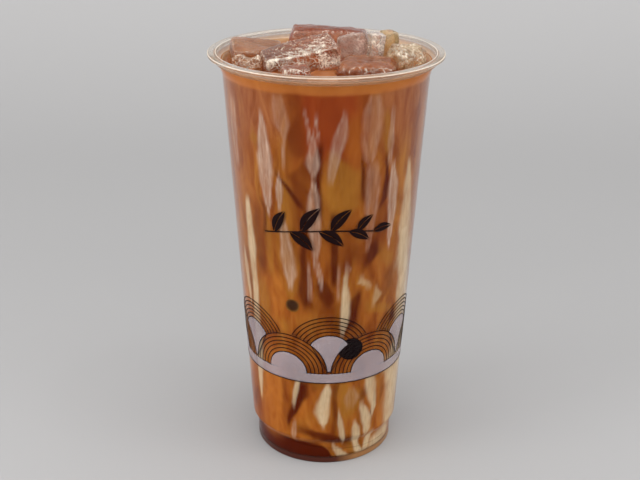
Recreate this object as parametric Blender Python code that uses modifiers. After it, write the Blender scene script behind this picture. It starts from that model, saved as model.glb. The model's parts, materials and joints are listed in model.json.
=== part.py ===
"""Tall clear plastic cup of iced brown sugar milk tea, with its ice and tapioca pearls.

Sizes are in millimetres in the constants and in metres in the scene. +Z is up, the cup's axis
is the Z axis, and its foot stands on z = 0. Azimuth 0 is the front, at -Y, and grows towards +X.
"""

import math
import random

import bmesh
import bpy
from mathutils import Euler, Matrix, Vector

MM = 0.001

# Cup: a seven hundred millilitre cup for a 95 mm sealing film.
HEIGHT = 175.0
RIM_RADIUS = 47.5
MOUTH_RADIUS = 43.9
LIP_DROP = 1.3
COLLAR_RADIUS = 45.0
COLLAR_DROP = 3.4
BAND_TOP_RADIUS = 42.9
BAND_DROP = 7.6
WALL_TOP_RADIUS = 41.8
WALL_FOOT_RADIUS = 32.1
WALL_FOOT_HEIGHT = 13.0
STEP_HEIGHT = 10.2
FOOT_TOP_RADIUS = 30.2
FOOT_RADIUS = 29.8
FOOT_RING_WIDTH = 2.0
WALL = 0.8
FLOOR_UNDERSIDE = 0.8
FLOOR_TOP = 1.7
NOTCH_AZIMUTHS = (-62.0, 118.0)
NOTCH_WIDTH = 8.0
NOTCH_HEIGHT = 0.6
TURN_STEPS = 60

# Filling: the tea's level, its rise at the wall, and the syrup's tilted top.
GAP = 0.3
TEA_LEVEL = HEIGHT - 5.5
MENISCUS_RISE = 0.7
MENISCUS_WIDTH = 3.0
SYRUP_MIDDLE = 8.2
SYRUP_FALL = 3.4
SYRUP_LOW_AZIMUTH = 75.0

# Ice: places are from the cup's axis and the rim's plane, turns are in degrees about X, Y and Z.
ICE_UNEVENNESS = 0.07
ICE_CREASE = 0.4
ICE_INSET = 1.0
ICE_BLOCKS = (
    # name, place, size, turn, seed
    ("ice_back", (1.0, 24.0, -4.5), (33, 13, 17), (0, 4, -3), 3),
    ("ice_long", (-10.2, -5.6, -3.8), (32, 15, 15), (13, -13, 10), 5),
    ("ice_left", (-28.5, 6.5, -4.4), (23, 20, 10), (6, 9, 8), 8),
    ("ice_middle", (11.8, 9.4, -3.4), (13, 9, 16), (-10, -13, -6), 11),
    ("ice_low", (15.8, -13.5, -6.6), (24, 22, 11), (2, 0, -6), 14),
    ("ice_upright", (19.6, 3.6, -1.2), (6, 6, 15), (4, 6, 20), 17),
    ("ice_pale", (26.0, 11.0, -1.2), (6, 7, 14), (0, -3, 25), 20),
    ("ice_front", (-12.0, -22.0, -5.4), (11, 9, 8), (4, 3, 12), 23),
)
# Heaps of small ice: name, place, spread, size of a chip, number of chips, seed.
ICE_HEAPS = (
    ("ice_crushed", (32.0, -0.5, -2.0), (5.2, 8.5, 2.2), 4.7, 9, 31),
    ("ice_chips", (-31.5, -8.0, -4.6), (5.0, 4.5, 0.8), 3.4, 7, 37),
)
CHIP_UNEVENNESS = 0.28

# Pearls: name, azimuth, height, radius, and how far the centre lies inside the cup's wall.
PEARLS = (
    ("pearl_front", 18.3, 57.8, 5.6, 2.0),
    ("pearl_left", -21.9, 77.8, 5.0, 3.9),
)
PEARL_STEPS = (16, 11)


def wall_radius(height):
    """Outer radius of the cup's straight wall at a height."""
    share = (height - WALL_FOOT_HEIGHT) / (HEIGHT - BAND_DROP - WALL_FOOT_HEIGHT)
    return WALL_FOOT_RADIUS + (WALL_TOP_RADIUS - WALL_FOOT_RADIUS) * share


def clear_scene():
    for obj in list(bpy.data.objects):
        bpy.data.objects.remove(obj, do_unlink=True)


def new_collection(name):
    collection = bpy.data.collections.new(name)
    bpy.context.scene.collection.children.link(collection)
    return collection


def new_material(name, colour, roughness, transmission=0.0):
    material = bpy.data.materials.new(name)
    material.use_nodes = True
    shader = material.node_tree.nodes["Principled BSDF"]
    shader.inputs["Base Color"].default_value = (*colour, 1.0)
    shader.inputs["Roughness"].default_value = roughness
    shader.inputs["Metallic"].default_value = 0.0
    shader.inputs["Transmission Weight"].default_value = transmission
    material.diffuse_color = (*colour, 1.0 - 0.6 * transmission)
    return material


def new_object(name, mesh, collection, material=None):
    obj = bpy.data.objects.new(name, mesh)
    collection.objects.link(obj)
    if material is not None:
        mesh.materials.append(material)
    return obj


def mesh_of(bm, name):
    mesh = bpy.data.meshes.new(name)
    bm.to_mesh(mesh)
    bm.free()
    return mesh


def rounded(corners):
    """Points of an outline whose corners, given as (radius, height, fillet), are rounded by arcs."""
    points = []
    for index, (r, z, fillet) in enumerate(corners):
        corner = Vector((r, z))
        if fillet == 0 or index in (0, len(corners) - 1):
            points.append(corner)
            continue
        back = (Vector(corners[index - 1][:2]) - corner).normalized()
        on = (Vector(corners[index + 1][:2]) - corner).normalized()
        half_angle = back.angle(on) / 2
        centre = corner + (back + on).normalized() * (fillet / math.sin(half_angle))
        start = corner + back * (fillet / math.tan(half_angle)) - centre
        end = corner + on * (fillet / math.tan(half_angle)) - centre
        arc_steps = 2 if fillet >= 0.5 else 1
        for step in range(arc_steps + 1):
            share = step / arc_steps
            points.append(centre + start.slerp(end, share, start) * fillet)
    return points


def turned(name, outline, collection, material=None):
    """A solid turned about Z from an outline that ends on the axis and runs down its outer side."""
    bm = bmesh.new()
    verts = [bm.verts.new((p.x * MM, 0.0, p.y * MM)) for p in outline]
    for first, second in zip(verts, verts[1:]):
        bm.edges.new((first, second))
    obj = new_object(name, mesh_of(bm, name), collection, material)
    screw = obj.modifiers.new("Turn", "SCREW")
    screw.axis = "Z"
    screw.steps = TURN_STEPS
    screw.render_steps = TURN_STEPS
    screw.use_merge_vertices = True
    screw.merge_threshold = 0.00001
    screw.use_smooth_shade = True
    return obj


def boolean(obj, operation, other, solver="EXACT"):
    modifier = obj.modifiers.new(operation.title() + " " + other.name, "BOOLEAN")
    modifier.operation = operation
    modifier.object = other
    modifier.solver = solver


def as_cutter(obj):
    obj.hide_render = True
    obj.display_type = "WIRE"
    return obj


def cup_outline():
    """The cup's section: up the inside from the floor, over the rim, and down the outside."""
    inner = [
        (0.0, FLOOR_TOP, 0),
        (FOOT_RADIUS - WALL, FLOOR_TOP, 1.6),
        (FOOT_TOP_RADIUS - WALL, STEP_HEIGHT, 0.8),
        (WALL_FOOT_RADIUS - WALL, WALL_FOOT_HEIGHT, 0.8),
        (WALL_TOP_RADIUS - WALL, HEIGHT - BAND_DROP, 0),
        (BAND_TOP_RADIUS - WALL, HEIGHT - COLLAR_DROP - 0.4, 0.4),
        (MOUTH_RADIUS - 0.3, HEIGHT - COLLAR_DROP + 0.4, 0.4),
        (MOUTH_RADIUS, HEIGHT, 0.4),
    ]
    outer = [
        (RIM_RADIUS, HEIGHT, 0.5),
        (RIM_RADIUS, HEIGHT - LIP_DROP, 0.4),
        (COLLAR_RADIUS, HEIGHT - LIP_DROP - 0.2, 0.3),
        (COLLAR_RADIUS - 0.3, HEIGHT - COLLAR_DROP, 0.3),
        (BAND_TOP_RADIUS, HEIGHT - COLLAR_DROP - 1.0, 0.4),
        (WALL_TOP_RADIUS + 0.4, HEIGHT - BAND_DROP + 0.3, 0),
        (WALL_TOP_RADIUS, HEIGHT - BAND_DROP, 0),
        (WALL_FOOT_RADIUS, WALL_FOOT_HEIGHT, 1.0),
        (FOOT_TOP_RADIUS, STEP_HEIGHT, 1.0),
        (FOOT_RADIUS, 0.0, 0.7),
        (FOOT_RADIUS - FOOT_RING_WIDTH, 0.0, 0.3),
        (FOOT_RADIUS - FOOT_RING_WIDTH - 0.4, FLOOR_UNDERSIDE, 0.3),
        (0.0, FLOOR_UNDERSIDE, 0),
    ]
    return rounded(inner + outer)


def make_cup(parts, cutters, plastic):
    cup = turned("cup", cup_outline(), parts, plastic)
    for number, azimuth in enumerate(NOTCH_AZIMUTHS, 1):
        bm = bmesh.new()
        bmesh.ops.create_cube(bm, size=1.0)
        size = Vector((NOTCH_WIDTH, 4 * FOOT_RING_WIDTH, 2 * NOTCH_HEIGHT)) * MM
        bmesh.ops.scale(bm, vec=size, verts=bm.verts)
        notch = as_cutter(new_object(f"notch_{number}", mesh_of(bm, "notch"), cutters))
        turn = math.radians(azimuth)
        reach = (FOOT_RADIUS - FOOT_RING_WIDTH / 2) * MM
        notch.location = (reach * math.sin(turn), -reach * math.cos(turn), 0.0)
        notch.rotation_euler = (0.0, 0.0, turn)
        boolean(cup, "DIFFERENCE", notch)
    return cup


def inside_outline(top_corners, clearance=GAP):
    """The cup's inside, clear of its wall, under the top corners given."""
    shrink = WALL + clearance
    band_rise = (BAND_TOP_RADIUS - WALL_TOP_RADIUS) / (BAND_DROP - COLLAR_DROP)
    top_radius = WALL_TOP_RADIUS - shrink + band_rise * (TEA_LEVEL - HEIGHT + BAND_DROP)
    corners = [
        *top_corners(top_radius),
        (WALL_TOP_RADIUS - shrink, HEIGHT - BAND_DROP, 0),
        *((wall_radius(z) - shrink, z, 0) for z in (135.0, 100.0, 70.0, 40.0)),
        (WALL_FOOT_RADIUS - shrink, WALL_FOOT_HEIGHT + 0.1, 0.8),
        (FOOT_TOP_RADIUS - shrink, STEP_HEIGHT + 0.1, 0.8),
        (FOOT_RADIUS - shrink, FLOOR_TOP + GAP, 1.6),
        (0.0, FLOOR_TOP + GAP, 0),
    ]
    return rounded(corners)


def filling_top(radius):
    """The tea's surface, which climbs a little where it meets the cup."""
    return [
        (0.0, TEA_LEVEL, 0),
        (radius - MENISCUS_WIDTH, TEA_LEVEL, 0),
        (radius - MENISCUS_WIDTH / 3, TEA_LEVEL + MENISCUS_RISE / 3, 0),
        (radius, TEA_LEVEL + MENISCUS_RISE, 0),
    ]


def open_top(radius):
    """The same inside carried straight up past the rim, which holds the ice."""
    return [(0.0, HEIGHT + 20.0, 0), (radius, HEIGHT + 20.0, 0), (radius, TEA_LEVEL, 0)]


def syrup_half_space(name, lift, below, cutters):
    """A block above or below the tilted plane where the syrup meets the tea."""
    side, depth = 120.0, 200.0
    bm = bmesh.new()
    bmesh.ops.create_cube(bm, size=1.0)
    bmesh.ops.scale(bm, vec=Vector((side, side, depth)) * MM, verts=bm.verts)
    shift = -depth / 2 if below else depth / 2
    bmesh.ops.translate(bm, vec=Vector((0, 0, shift)) * MM, verts=bm.verts)
    block = as_cutter(new_object(name, mesh_of(bm, name), cutters))
    block.location = (0.0, 0.0, (SYRUP_MIDDLE + lift) * MM)
    lean = math.atan2(SYRUP_FALL, FOOT_RADIUS)
    low = math.radians(SYRUP_LOW_AZIMUTH)
    towards = Vector((math.sin(low), -math.cos(low), 0.0))
    block.rotation_euler = Matrix.Rotation(lean, 3, Vector((0, 0, 1)).cross(towards)).to_euler()
    return block


def ice_cage(size, seed, grow):
    """An uneven block whose creased edges soften when it is subdivided."""
    rng = random.Random(seed)
    bm = bmesh.new()
    bmesh.ops.create_cube(bm, size=1.0)
    crease = bm.edges.layers.float.new("crease_edge")
    for edge in bm.edges:
        edge[crease] = ICE_CREASE
    bmesh.ops.subdivide_edges(bm, edges=bm.edges[:], cuts=1, use_grid_fill=True)
    uneven = ICE_UNEVENNESS * sum(size) / 3
    for vert in bm.verts:
        wobble = Vector([rng.uniform(-uneven, uneven) for _ in range(3)])
        scaled = Vector([c * (s + 2 * grow) for c, s in zip(vert.co, size)])
        vert.co = (scaled + wobble) * MM
    return bm


def ice_block(name, place, size, turn, seed, grow, collection, material=None):
    obj = new_object(name, mesh_of(ice_cage(size, seed, grow), name), collection, material)
    obj.location = Vector((place[0], place[1], HEIGHT + place[2])) * MM
    obj.rotation_euler = Euler([math.radians(angle) for angle in turn])
    subdivide = obj.modifiers.new("Soften", "SUBSURF")
    subdivide.levels = 1
    subdivide.render_levels = 1
    return obj


def ice_heap(name, place, spread, chip, count, seed, grow, collection, material=None):
    """Small sharp pieces of ice, scattered on a spiral and fused into one."""
    rng = random.Random(seed)
    chips = new_collection(name + "_chips")
    for number in range(count):
        bm = bmesh.new()
        bmesh.ops.create_icosphere(bm, subdivisions=1, radius=1.0)
        stretch = Vector([rng.uniform(0.8, 1.35) for _ in range(3)])
        lean = Euler([rng.uniform(0, math.tau) for _ in range(3)]).to_matrix()
        for vert in bm.verts:
            bump = 1 + rng.uniform(-CHIP_UNEVENNESS, CHIP_UNEVENNESS)
            reach = chip * bump + grow
            vert.co = lean @ Vector([c * s * reach * MM for c, s in zip(vert.co, stretch)])
        share = math.sqrt(number / count)
        turn = number * math.radians(137.5)
        shift = Vector((
            place[0] + spread[0] * share * math.cos(turn),
            place[1] + spread[1] * share * math.sin(turn),
            HEIGHT + place[2] + spread[2] * rng.uniform(-1, 1) * (1 - share / 2),
        ))
        bmesh.ops.translate(bm, vec=shift * MM, verts=bm.verts)
        bmesh.ops.recalc_face_normals(bm, faces=bm.faces)
        new_object(f"{name}_chip_{number}", mesh_of(bm, "chip"), chips)
    core, *rest = list(chips.objects)
    chips.objects.unlink(core)
    collection.objects.link(core)
    core.name = name
    union = core.modifiers.new("Fuse", "BOOLEAN")
    union.operation = "UNION"
    union.operand_type = "COLLECTION"
    union.collection = chips
    union.solver = "EXACT"
    graph = bpy.context.evaluated_depsgraph_get()
    fused = bpy.data.meshes.new_from_object(core.evaluated_get(graph))
    core.modifiers.clear()
    core.data = fused
    if material is not None:
        fused.materials.append(material)
    for obj in rest:
        bpy.data.objects.remove(obj, do_unlink=True)
    bpy.data.collections.remove(chips)
    return core


def make_ice(parts, cutters, material):
    """Each piece of ice, kept inside the cup and clear of the pieces before it, with its cutter."""
    room = as_cutter(turned("room", inside_outline(open_top, ICE_INSET + GAP), cutters))
    pocket_room = as_cutter(turned("pocket_room", inside_outline(open_top, ICE_INSET), cutters))
    makers = [(ice_block, spec) for spec in ICE_BLOCKS] + [(ice_heap, spec) for spec in ICE_HEAPS]
    pockets = []
    for make, (name, *spec) in makers:
        piece = make(name, *spec, 0.0, parts, material)
        boolean(piece, "INTERSECT", room)
        for pocket in pockets:
            boolean(piece, "DIFFERENCE", pocket)
        pocket = as_cutter(make(name + "_pocket", *spec, GAP, cutters))
        boolean(pocket, "INTERSECT", pocket_room)
        pockets.append(pocket)
    return pockets


def pearl_ball(name, azimuth, height, radius, depth, collection, material=None):
    bm = bmesh.new()
    across, along = PEARL_STEPS
    bmesh.ops.create_uvsphere(bm, u_segments=across, v_segments=along, radius=radius * MM)
    ball = new_object(name, mesh_of(bm, name), collection, material)
    turn = math.radians(azimuth)
    reach = wall_radius(height) - WALL - depth
    ball.location = Vector((reach * math.sin(turn), -reach * math.cos(turn), height)) * MM
    return ball


def make_pearls(parts, cutters, filling, material):
    """Soft pearls pressed flat against the inside of the cup, with their cutters."""
    pockets = []
    for name, azimuth, height, radius, depth in PEARLS:
        pearl = pearl_ball(name, azimuth, height, radius, depth, parts, material)
        boolean(pearl, "INTERSECT", filling)
        pocket = pearl_ball(name + "_pocket", azimuth, height, radius + GAP, depth, cutters)
        pockets.append(as_cutter(pocket))
    return pockets


def main():
    clear_scene()
    parts = new_collection("iced_milk_tea")
    cutters = new_collection("cutters")
    plastic = new_material("clear plastic", (0.93, 0.94, 0.95), 0.06, 0.95)
    tea = new_material("milk tea", (0.43, 0.17, 0.045), 0.25)
    brown = new_material("brown sugar syrup", (0.08, 0.02, 0.006), 0.15)
    ice = new_material("ice", (0.85, 0.76, 0.66), 0.08, 0.8)
    black = new_material("tapioca", (0.012, 0.006, 0.004), 0.2)

    make_cup(parts, cutters, plastic)
    filling = as_cutter(turned("filling", inside_outline(filling_top), cutters))
    pockets = make_ice(parts, cutters, ice)
    pockets += make_pearls(parts, cutters, filling, black)

    drink = turned("drink", inside_outline(filling_top), parts, tea)
    boolean(drink, "DIFFERENCE", syrup_half_space("below_tea", GAP, True, cutters), "MANIFOLD")
    for pocket in pockets:
        boolean(drink, "DIFFERENCE", pocket, "MANIFOLD")
    syrup = turned("syrup", inside_outline(filling_top), parts, brown)
    boolean(syrup, "DIFFERENCE", syrup_half_space("above_syrup", 0.0, False, cutters))


main()
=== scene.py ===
"""Looks of a tall clear cup of iced brown sugar milk tea: cup, print, marbled tea, ice and pearls.

Sizes below are in millimetres unless a property has a unit. Azimuth 0 is the front, at -Y, and
grows towards +X.
"""

import json
import math
import random

import bmesh
import bpy
import numpy as np
from bpy.props import (
    FloatProperty, FloatVectorProperty, IntProperty, PointerProperty,
)
from mathutils import Matrix, Vector, noise

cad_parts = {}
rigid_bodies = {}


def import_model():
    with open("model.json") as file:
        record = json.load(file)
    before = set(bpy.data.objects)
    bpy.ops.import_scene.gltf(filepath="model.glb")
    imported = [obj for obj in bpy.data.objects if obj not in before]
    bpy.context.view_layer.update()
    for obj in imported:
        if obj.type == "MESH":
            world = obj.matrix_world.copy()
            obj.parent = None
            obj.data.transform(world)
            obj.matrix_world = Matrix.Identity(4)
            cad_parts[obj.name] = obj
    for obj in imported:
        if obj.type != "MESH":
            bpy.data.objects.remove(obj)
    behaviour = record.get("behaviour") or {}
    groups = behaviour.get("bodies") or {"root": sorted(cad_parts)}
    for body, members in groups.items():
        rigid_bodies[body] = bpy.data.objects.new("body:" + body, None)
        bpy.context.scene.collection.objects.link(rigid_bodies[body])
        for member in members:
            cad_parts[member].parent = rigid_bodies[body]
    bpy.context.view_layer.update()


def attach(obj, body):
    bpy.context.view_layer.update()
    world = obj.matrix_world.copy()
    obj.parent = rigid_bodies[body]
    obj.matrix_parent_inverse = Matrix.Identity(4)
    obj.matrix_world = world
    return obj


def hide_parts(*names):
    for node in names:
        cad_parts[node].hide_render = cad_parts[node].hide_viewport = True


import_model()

bl_info = {
    "name": "Iced Milk Tea",
    "version": (1, 0, 0),
    "blender": (4, 5, 0),
    "location": "3D View > Sidebar > Milk Tea",
    "description": "Dresses a cup of iced brown sugar milk tea and sets it on a studio floor",
    "category": "Object",
}

MM = 0.001
TAU = math.tau
# Points nearer to each other than this, in metres, are one.
SAME_POINT = 1e-7

# The cup's section, as in the part's source.
HEIGHT = 175.0
RIM_RADIUS = 47.5
MOUTH_RADIUS = 43.9
LIP_DROP = 1.3
COLLAR_RADIUS = 45.0
COLLAR_DROP = 3.4
BAND_TOP_RADIUS = 42.9
BAND_DROP = 7.6
WALL_TOP_RADIUS = 41.8
WALL_FOOT_RADIUS = 32.1
WALL_FOOT_HEIGHT = 13.0
STEP_HEIGHT = 10.2
FOOT_TOP_RADIUS = 30.2
FOOT_RADIUS = 29.8
FOOT_RING_WIDTH = 2.0
WALL = 0.8
FLOOR_UNDERSIDE = 0.8
FLOOR_TOP = 1.7
NOTCH_AZIMUTHS = (-62.0, 118.0)
NOTCH_SIZE = (8.0, 8.0, 1.2)

# The filling.
TEA_LEVEL = HEIGHT - 5.5
MENISCUS_RISE = 0.7
FILM_RISE = 1.8
SYRUP_MIDDLE = 8.2
SYRUP_FALL = 3.4
SYRUP_LOW_AZIMUTH = 75.0
# How far the tea and the syrup reach into what they touch, so that no gap shows.
REACH = 0.1
# By node: azimuth, height, radius, and how far inside the wall the pearl's centre lies.
PEARLS = (
    ("pearl_front", 18.3, 57.8, 5.6, 2.0),
    ("pearl_left", -21.9, 77.8, 5.0, 3.9),
)
ICE = (
    "ice_back", "ice_long", "ice_left", "ice_middle", "ice_low",
    "ice_upright", "ice_pale", "ice_front", "ice_crushed", "ice_chips",
)

# Distances from a pearl's middle between which its colour goes over into that of its rim.
PEARL_FADE = (1.7, 4.1)

# The print. How far the ink stands off the wall, and how far the lines stand off the pale ink.
INK_LIFT, LINE_LIFT = 0.01, 0.02
# From the band's lower line up to its middle, and up to the front scales' centres.
BAND_MIDDLE, BAND_BASE = 10.0, 4.5
# Where the first wave scale stands, as a share of the distance between two of them.
PHASE = 0.55
# The sprig's leaves: place along the stem, length, half width and lean in degrees.
LEAVES = (
    (0.10, 11, 2.3, 62), (0.26, 12, 2.5, -38), (0.36, 13, 2.6, 54), (0.52, 12, 2.4, -34),
    (0.62, 12, 2.4, 48), (0.78, 10, 2.0, -28), (0.84, 9, 1.9, 44), (0.99, 9, 1.8, 4),
)
STEM_WIDTH = 0.55
SPRIG_HEIGHT = 112.0
SPRIG_SHIFT = -3.2

# Streaks in the tea that show at the front: strength, then points of azimuth, height and half
# width in degrees.
STREAKS = {
    "amber": (
        (1.0, (-72, 77, 4.7), (-50, 61, 12.4), (-45, 38, 15.5), (-45, 22, 14.4), (-52, 10, 10.5)),
        (0.9, (14, 158, 3), (15, 150, 5.5), (13, 142, 5)),
        (1.0, (68, 47, 4.5), (44, 53, 7.8), (41, 46, 5.8)),
        (0.8, (4, 42, 1.5), (-5, 38, 3), (-13, 31, 3), (-20, 22, 3), (-24, 14, 2.2)),
        (0.9, (46, 27, 3), (47, 18, 6), (46, 11, 5)),
        (0.8, (-30, 90, 6), (-33, 78, 9), (-34, 66, 7)),
    ),
    "brown": (
        (0.9, (-11, 139, 2), (-15, 134, 6), (-15, 128, 5), (-12, 123, 2.2)),
        (0.7, (-16, 166, 3.5), (-17, 158, 5), (-17, 150, 6), (-15, 142, 5)),
        (0.8, (-45, 119, 2.4), (-45, 105, 3.4), (-45, 90, 3)),
        (0.8, (46, 91, 6), (43, 83, 6.5), (39, 78, 3)),
        (0.8, (0, 81, 7), (4, 76, 11), (7, 71, 9), (9, 66, 6)),
        (0.8, (47, 40, 3.4), (49, 32, 2.8), (48, 27, 1)),
        (0.7, (-60, 94, 1.4), (-60, 78, 1.8), (-60, 64, 1.4)),
        (0.7, (14, 106, 7), (14, 100, 8), (12, 94, 5)),
        (0.6, (-31, 40, 2), (-31, 28, 3), (-30, 18, 3)),
    ),
    "gold": (
        (0.9, (4, 143, 3), (9, 136, 8), (10, 130, 9.8), (10, 124, 9), (9, 120, 5)),
        (0.8, (-25, 131, 3), (-25, 122, 5), (-25, 106, 5), (-23, 95, 6), (-23, 87, 5),
         (-23, 81, 2)),
        (0.7, (-38, 119, 1.6), (-38, 110, 2.8), (-38, 98, 3), (-37, 90, 2.2)),
        (0.8, (-45, 150, 0.9), (-44, 147, 3.6), (-43, 145, 1)),
        (0.8, (34, 158, 1.4), (35, 152, 2.8), (36, 146, 2.4), (37, 142, 1)),
        (1.0, (13, 41, 4), (18, 34, 10), (19, 28, 9), (18, 23, 4)),
        (0.8, (22, 91, 2), (25, 88, 5), (30, 85, 2)),
        (0.9, (34, 85, 1.4), (36, 81, 3.6), (33, 76, 1.6)),
        (0.8, (30, 78, 4), (40, 74, 11), (51, 71, 4)),
        (1.0, (20, 12, 3), (27, 6, 6.5), (31, 1, 4.5)),
        (0.7, (-47, 85, 3.4), (-45, 78, 5), (-44, 69, 4)),
        (0.8, (-30, 69, 5), (-27, 66, 3)),
        (0.7, (-6, 43, 4), (-2, 40, 5)),
        (0.6, (-19, 22, 4), (-23, 17, 3), (-25, 12, 1)),
        (0.6, (36, 103, 4), (42, 98, 6), (45, 94, 3)),
    ),
    "dark": (
        (0.9, (-30, 134, 0.5), (-24, 130, 1.3), (-18, 125, 1.5), (-13, 121, 1.7)),
        (0.9, (-3, 147, 1.5), (-5, 138, 2.6), (-5, 130, 2.2), (-4, 120, 1.4)),
        (0.8, (20, 142, 0.6), (21.5, 134, 1), (22, 126, 0.8)),
        (0.9, (36, 141, 0.7), (38, 132, 1.4), (37, 123, 1.8), (34, 120, 1)),
        (0.9, (31, 106, 3), (30, 101, 5.5), (26, 96, 2.6)),
        (0.9, (4.5, 119, 1.8), (5, 104, 2.4), (5, 88, 1.8)),
        (0.8, (-12, 121, 0.9), (-13, 108, 1.4), (-13, 96, 1.8), (-14, 86, 3), (-11, 78, 2.2)),
        (0.8, (-4, 90, 2), (-2, 86.5, 3.6), (0, 83, 4.4), (1, 80, 3.6), (1.5, 78, 2)),
        (0.9, (23, 84, 2.6), (20, 78, 5), (17, 71, 5.5), (14, 66, 3)),
        (1.0, (-16, 42, 4), (-17, 36, 4.2), (-21, 30, 2.8), (-25, 25, 1.8), (-29, 19, 1)),
        (0.8, (54, 72, 1), (53, 67, 2.6), (50, 64, 1)),
        (0.9, (-16, 18.5, 4), (-6, 16, 11), (5, 13.5, 13), (14, 11, 9), (19, 9, 4)),
        (0.9, (40, 33, 0.7), (41, 27, 1.5), (38, 22, 1.8)),
        (0.6, (-42, 122, 1), (-39, 118, 1.4), (-41, 108, 0.9)),
        (0.6, (8, 41, 3), (7, 32, 2.2), (8, 24, 2)),
        (0.6, (31, 36, 3), (29, 31, 2)),
    ),
    # Veil streaks are thin milky trails, except the ones at -38 and -62 degrees, which are painted
    # reflections of light on the cup's left side.
    "veil_and_reflection": (
        (1.0, (-38, 158, 0.8), (-38, 150, 2.9), (-37, 140, 4.7), (-37, 130, 4.2),
         (-36, 122, 2.3), (-36, 117, 0.4)),
        (1.0, (-28, 134, 0.5), (-28, 128, 1.9), (-28, 120, 0.6)),
        (0.8, (-7, 153, 0.4), (-7, 147, 1.6), (-7, 140, 3), (-7, 134.5, 1)),
        (0.75, (-7, 133, 0.8), (-7, 126, 2.6), (-7, 116, 2.6), (-6.5, 106, 2), (-6, 95, 0.5)),
        (0.6, (9, 160, 0.8), (7, 151, 2.7), (5, 142, 3), (3, 133, 1.2)),
        (0.35, (25, 168, 3), (26, 160, 5), (25, 150, 5), (25, 142, 3.2), (25, 138.5, 1)),
        (0.4, (27, 139, 3), (28, 128, 4), (28, 118, 3.6), (27, 111, 2.6), (26, 103, 1)),
        (1.0, (42, 137, 0.8), (43, 128, 2.8), (43, 118, 3), (43, 108, 1.8), (43, 102, 0.4)),
        (0.35, (-27, 167, 2), (-26, 160, 3.4), (-25, 155, 3.8), (-24, 151, 1.6)),
        (0.6, (-24, 151, 0.6), (-24, 138, 0.7)),
        (0.6, (-11, 160, 0.5), (-9, 149, 0.7)),
        (0.6, (-6, 159, 0.5), (-4, 150, 0.6)),
        (0.5, (38, 160, 1), (38, 147, 1.7), (39, 138, 1)),
        (0.7, (-26, 116, 1.2), (-25.5, 110, 2.2), (-24, 100, 3.4), (-23, 92, 3.8), (-23, 86, 1.6)),
        (0.5, (-62, 160, 3), (-64, 148, 4), (-63, 134, 2)),
        (0.5, (-10, 97, 0.6), (-10, 88, 0.9), (-9.5, 82, 0.9)),
        (0.4, (8.5, 96, 0.6), (8.5, 88, 0.8), (8, 82, 0.8)),
        (0.7, (-5, 99, 0.5), (-4, 93, 1.1), (-3, 87, 0.5)),
        (0.3, (20, 38, 2), (20, 33, 5), (20, 29, 3)),
        (0.5, (-23, 21, 0.7), (-24.5, 14, 1.8), (-25, 12, 1)),
        (0.5, (13, 97, 0.8), (14, 95, 1.6), (14, 93, 0.8)),
    ),
    # Cream streaks are milk running down the wall, except the first four, at 54 to 69 degrees
    # either side of the front, which are painted reflections of bright light at the cup's sides.
    "cream_and_reflection": (
        (0.75, (56, 136, 1.6), (58, 127, 3.6), (59.5, 116, 5), (60, 104, 6.5)),
        (0.9, (60, 108, 5), (62, 94, 8), (66, 82, 9), (69, 70, 9), (69, 56, 10), (66, 44, 14),
         (66, 28, 13), (66, 17, 11), (66, 12, 9)),
        (0.85, (-54, 120, 1.6), (-54, 110, 3.4), (-53.5, 100, 3.6), (-53, 90, 3.3),
         (-53.5, 78, 2.9), (-54, 60, 2.7), (-55, 45, 2.9), (-56, 35, 2.5), (-57, 27, 1)),
        (0.6, (-64, 96, 1), (-63, 88, 2.6), (-62, 80, 2.2), (-61, 71, 1)),
        (0.95, (12.7, 93, 0.6), (13, 88, 1.3), (13.5, 82, 2.7), (13.5, 76, 3), (13, 70, 2.4),
         (12, 65, 1)),
        (1.0, (2, 41, 0.9), (1, 37, 2.8), (0, 32, 4), (-1, 27, 4.1), (-1, 22, 2.4),
         (-1, 20, 0.6)),
        (0.85, (-19.5, 42.5, 1.1), (-21, 37, 1.7), (-23, 31, 1.1), (-23.5, 29, 0.4)),
        (0.95, (35, 42, 3.6), (37, 37, 4.4), (39, 31, 4), (41, 26, 2.4), (40, 22, 0.6)),
        (0.9, (29, 29, 1.4), (31, 26, 3), (34, 21, 4.4), (35, 16, 3.2), (35, 12, 1)),
        (0.95, (24, 20, 1.4), (25, 17, 3), (26, 12, 2.6), (27.5, 8, 1.8), (31, 3.5, 3.4),
         (34, 0, 4.4)),
        (0.9, (40, 12, 2.2), (38.5, 8, 2.4), (37, 4, 2.4), (35, 0, 3)),
        (0.9, (11, 27, 0.5), (12, 21, 1.9), (14, 15, 1.8), (16, 11, 0.7)),
        (0.95, (8, 9, 1.2), (11, 6, 3.8), (15, 3, 4.4), (19, 0, 3)),
        (0.9, (60, 9, 10), (57, 6, 14), (52, 3, 13), (48, 0, 9)),
        (0.5, (24, 90, 1.5), (25, 88, 4), (29, 86, 2)),
        (0.45, (35, 84, 1), (37, 81, 2.6), (34, 77, 1)),
    ),
}
# Streaks where the front's leave off: how many, how long, half width in degrees, and heights.
FREE_STREAKS = {
    "amber": (14, (25, 60), (4, 12), (12, 150)),
    "brown": (12, (15, 40), (3, 8), (12, 150)),
    "gold": (22, (14, 40), (2, 8), (12, 150)),
    "dark": (28, (12, 45), (0.8, 4), (12, 150)),
    "veil_and_reflection": (15, (14, 40), (1.2, 4.5), (95, 160)),
    "cream_and_reflection": (22, (18, 70), (1.2, 4.5), (10, 125)),
}
FREE_FROM, FREE_TO = 78.0, 282.0
# How crisp each kind's edges are, and how much fainter its middle is.
STREAK_EDGES = {
    "amber": (0.1, 0.0), "brown": (0.25, 0.0), "gold": (0.3, 0.0), "dark": (0.45, 0.0),
    "veil_and_reflection": (0.6, 0.5), "cream_and_reflection": (0.6, 0.0),
}


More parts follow.
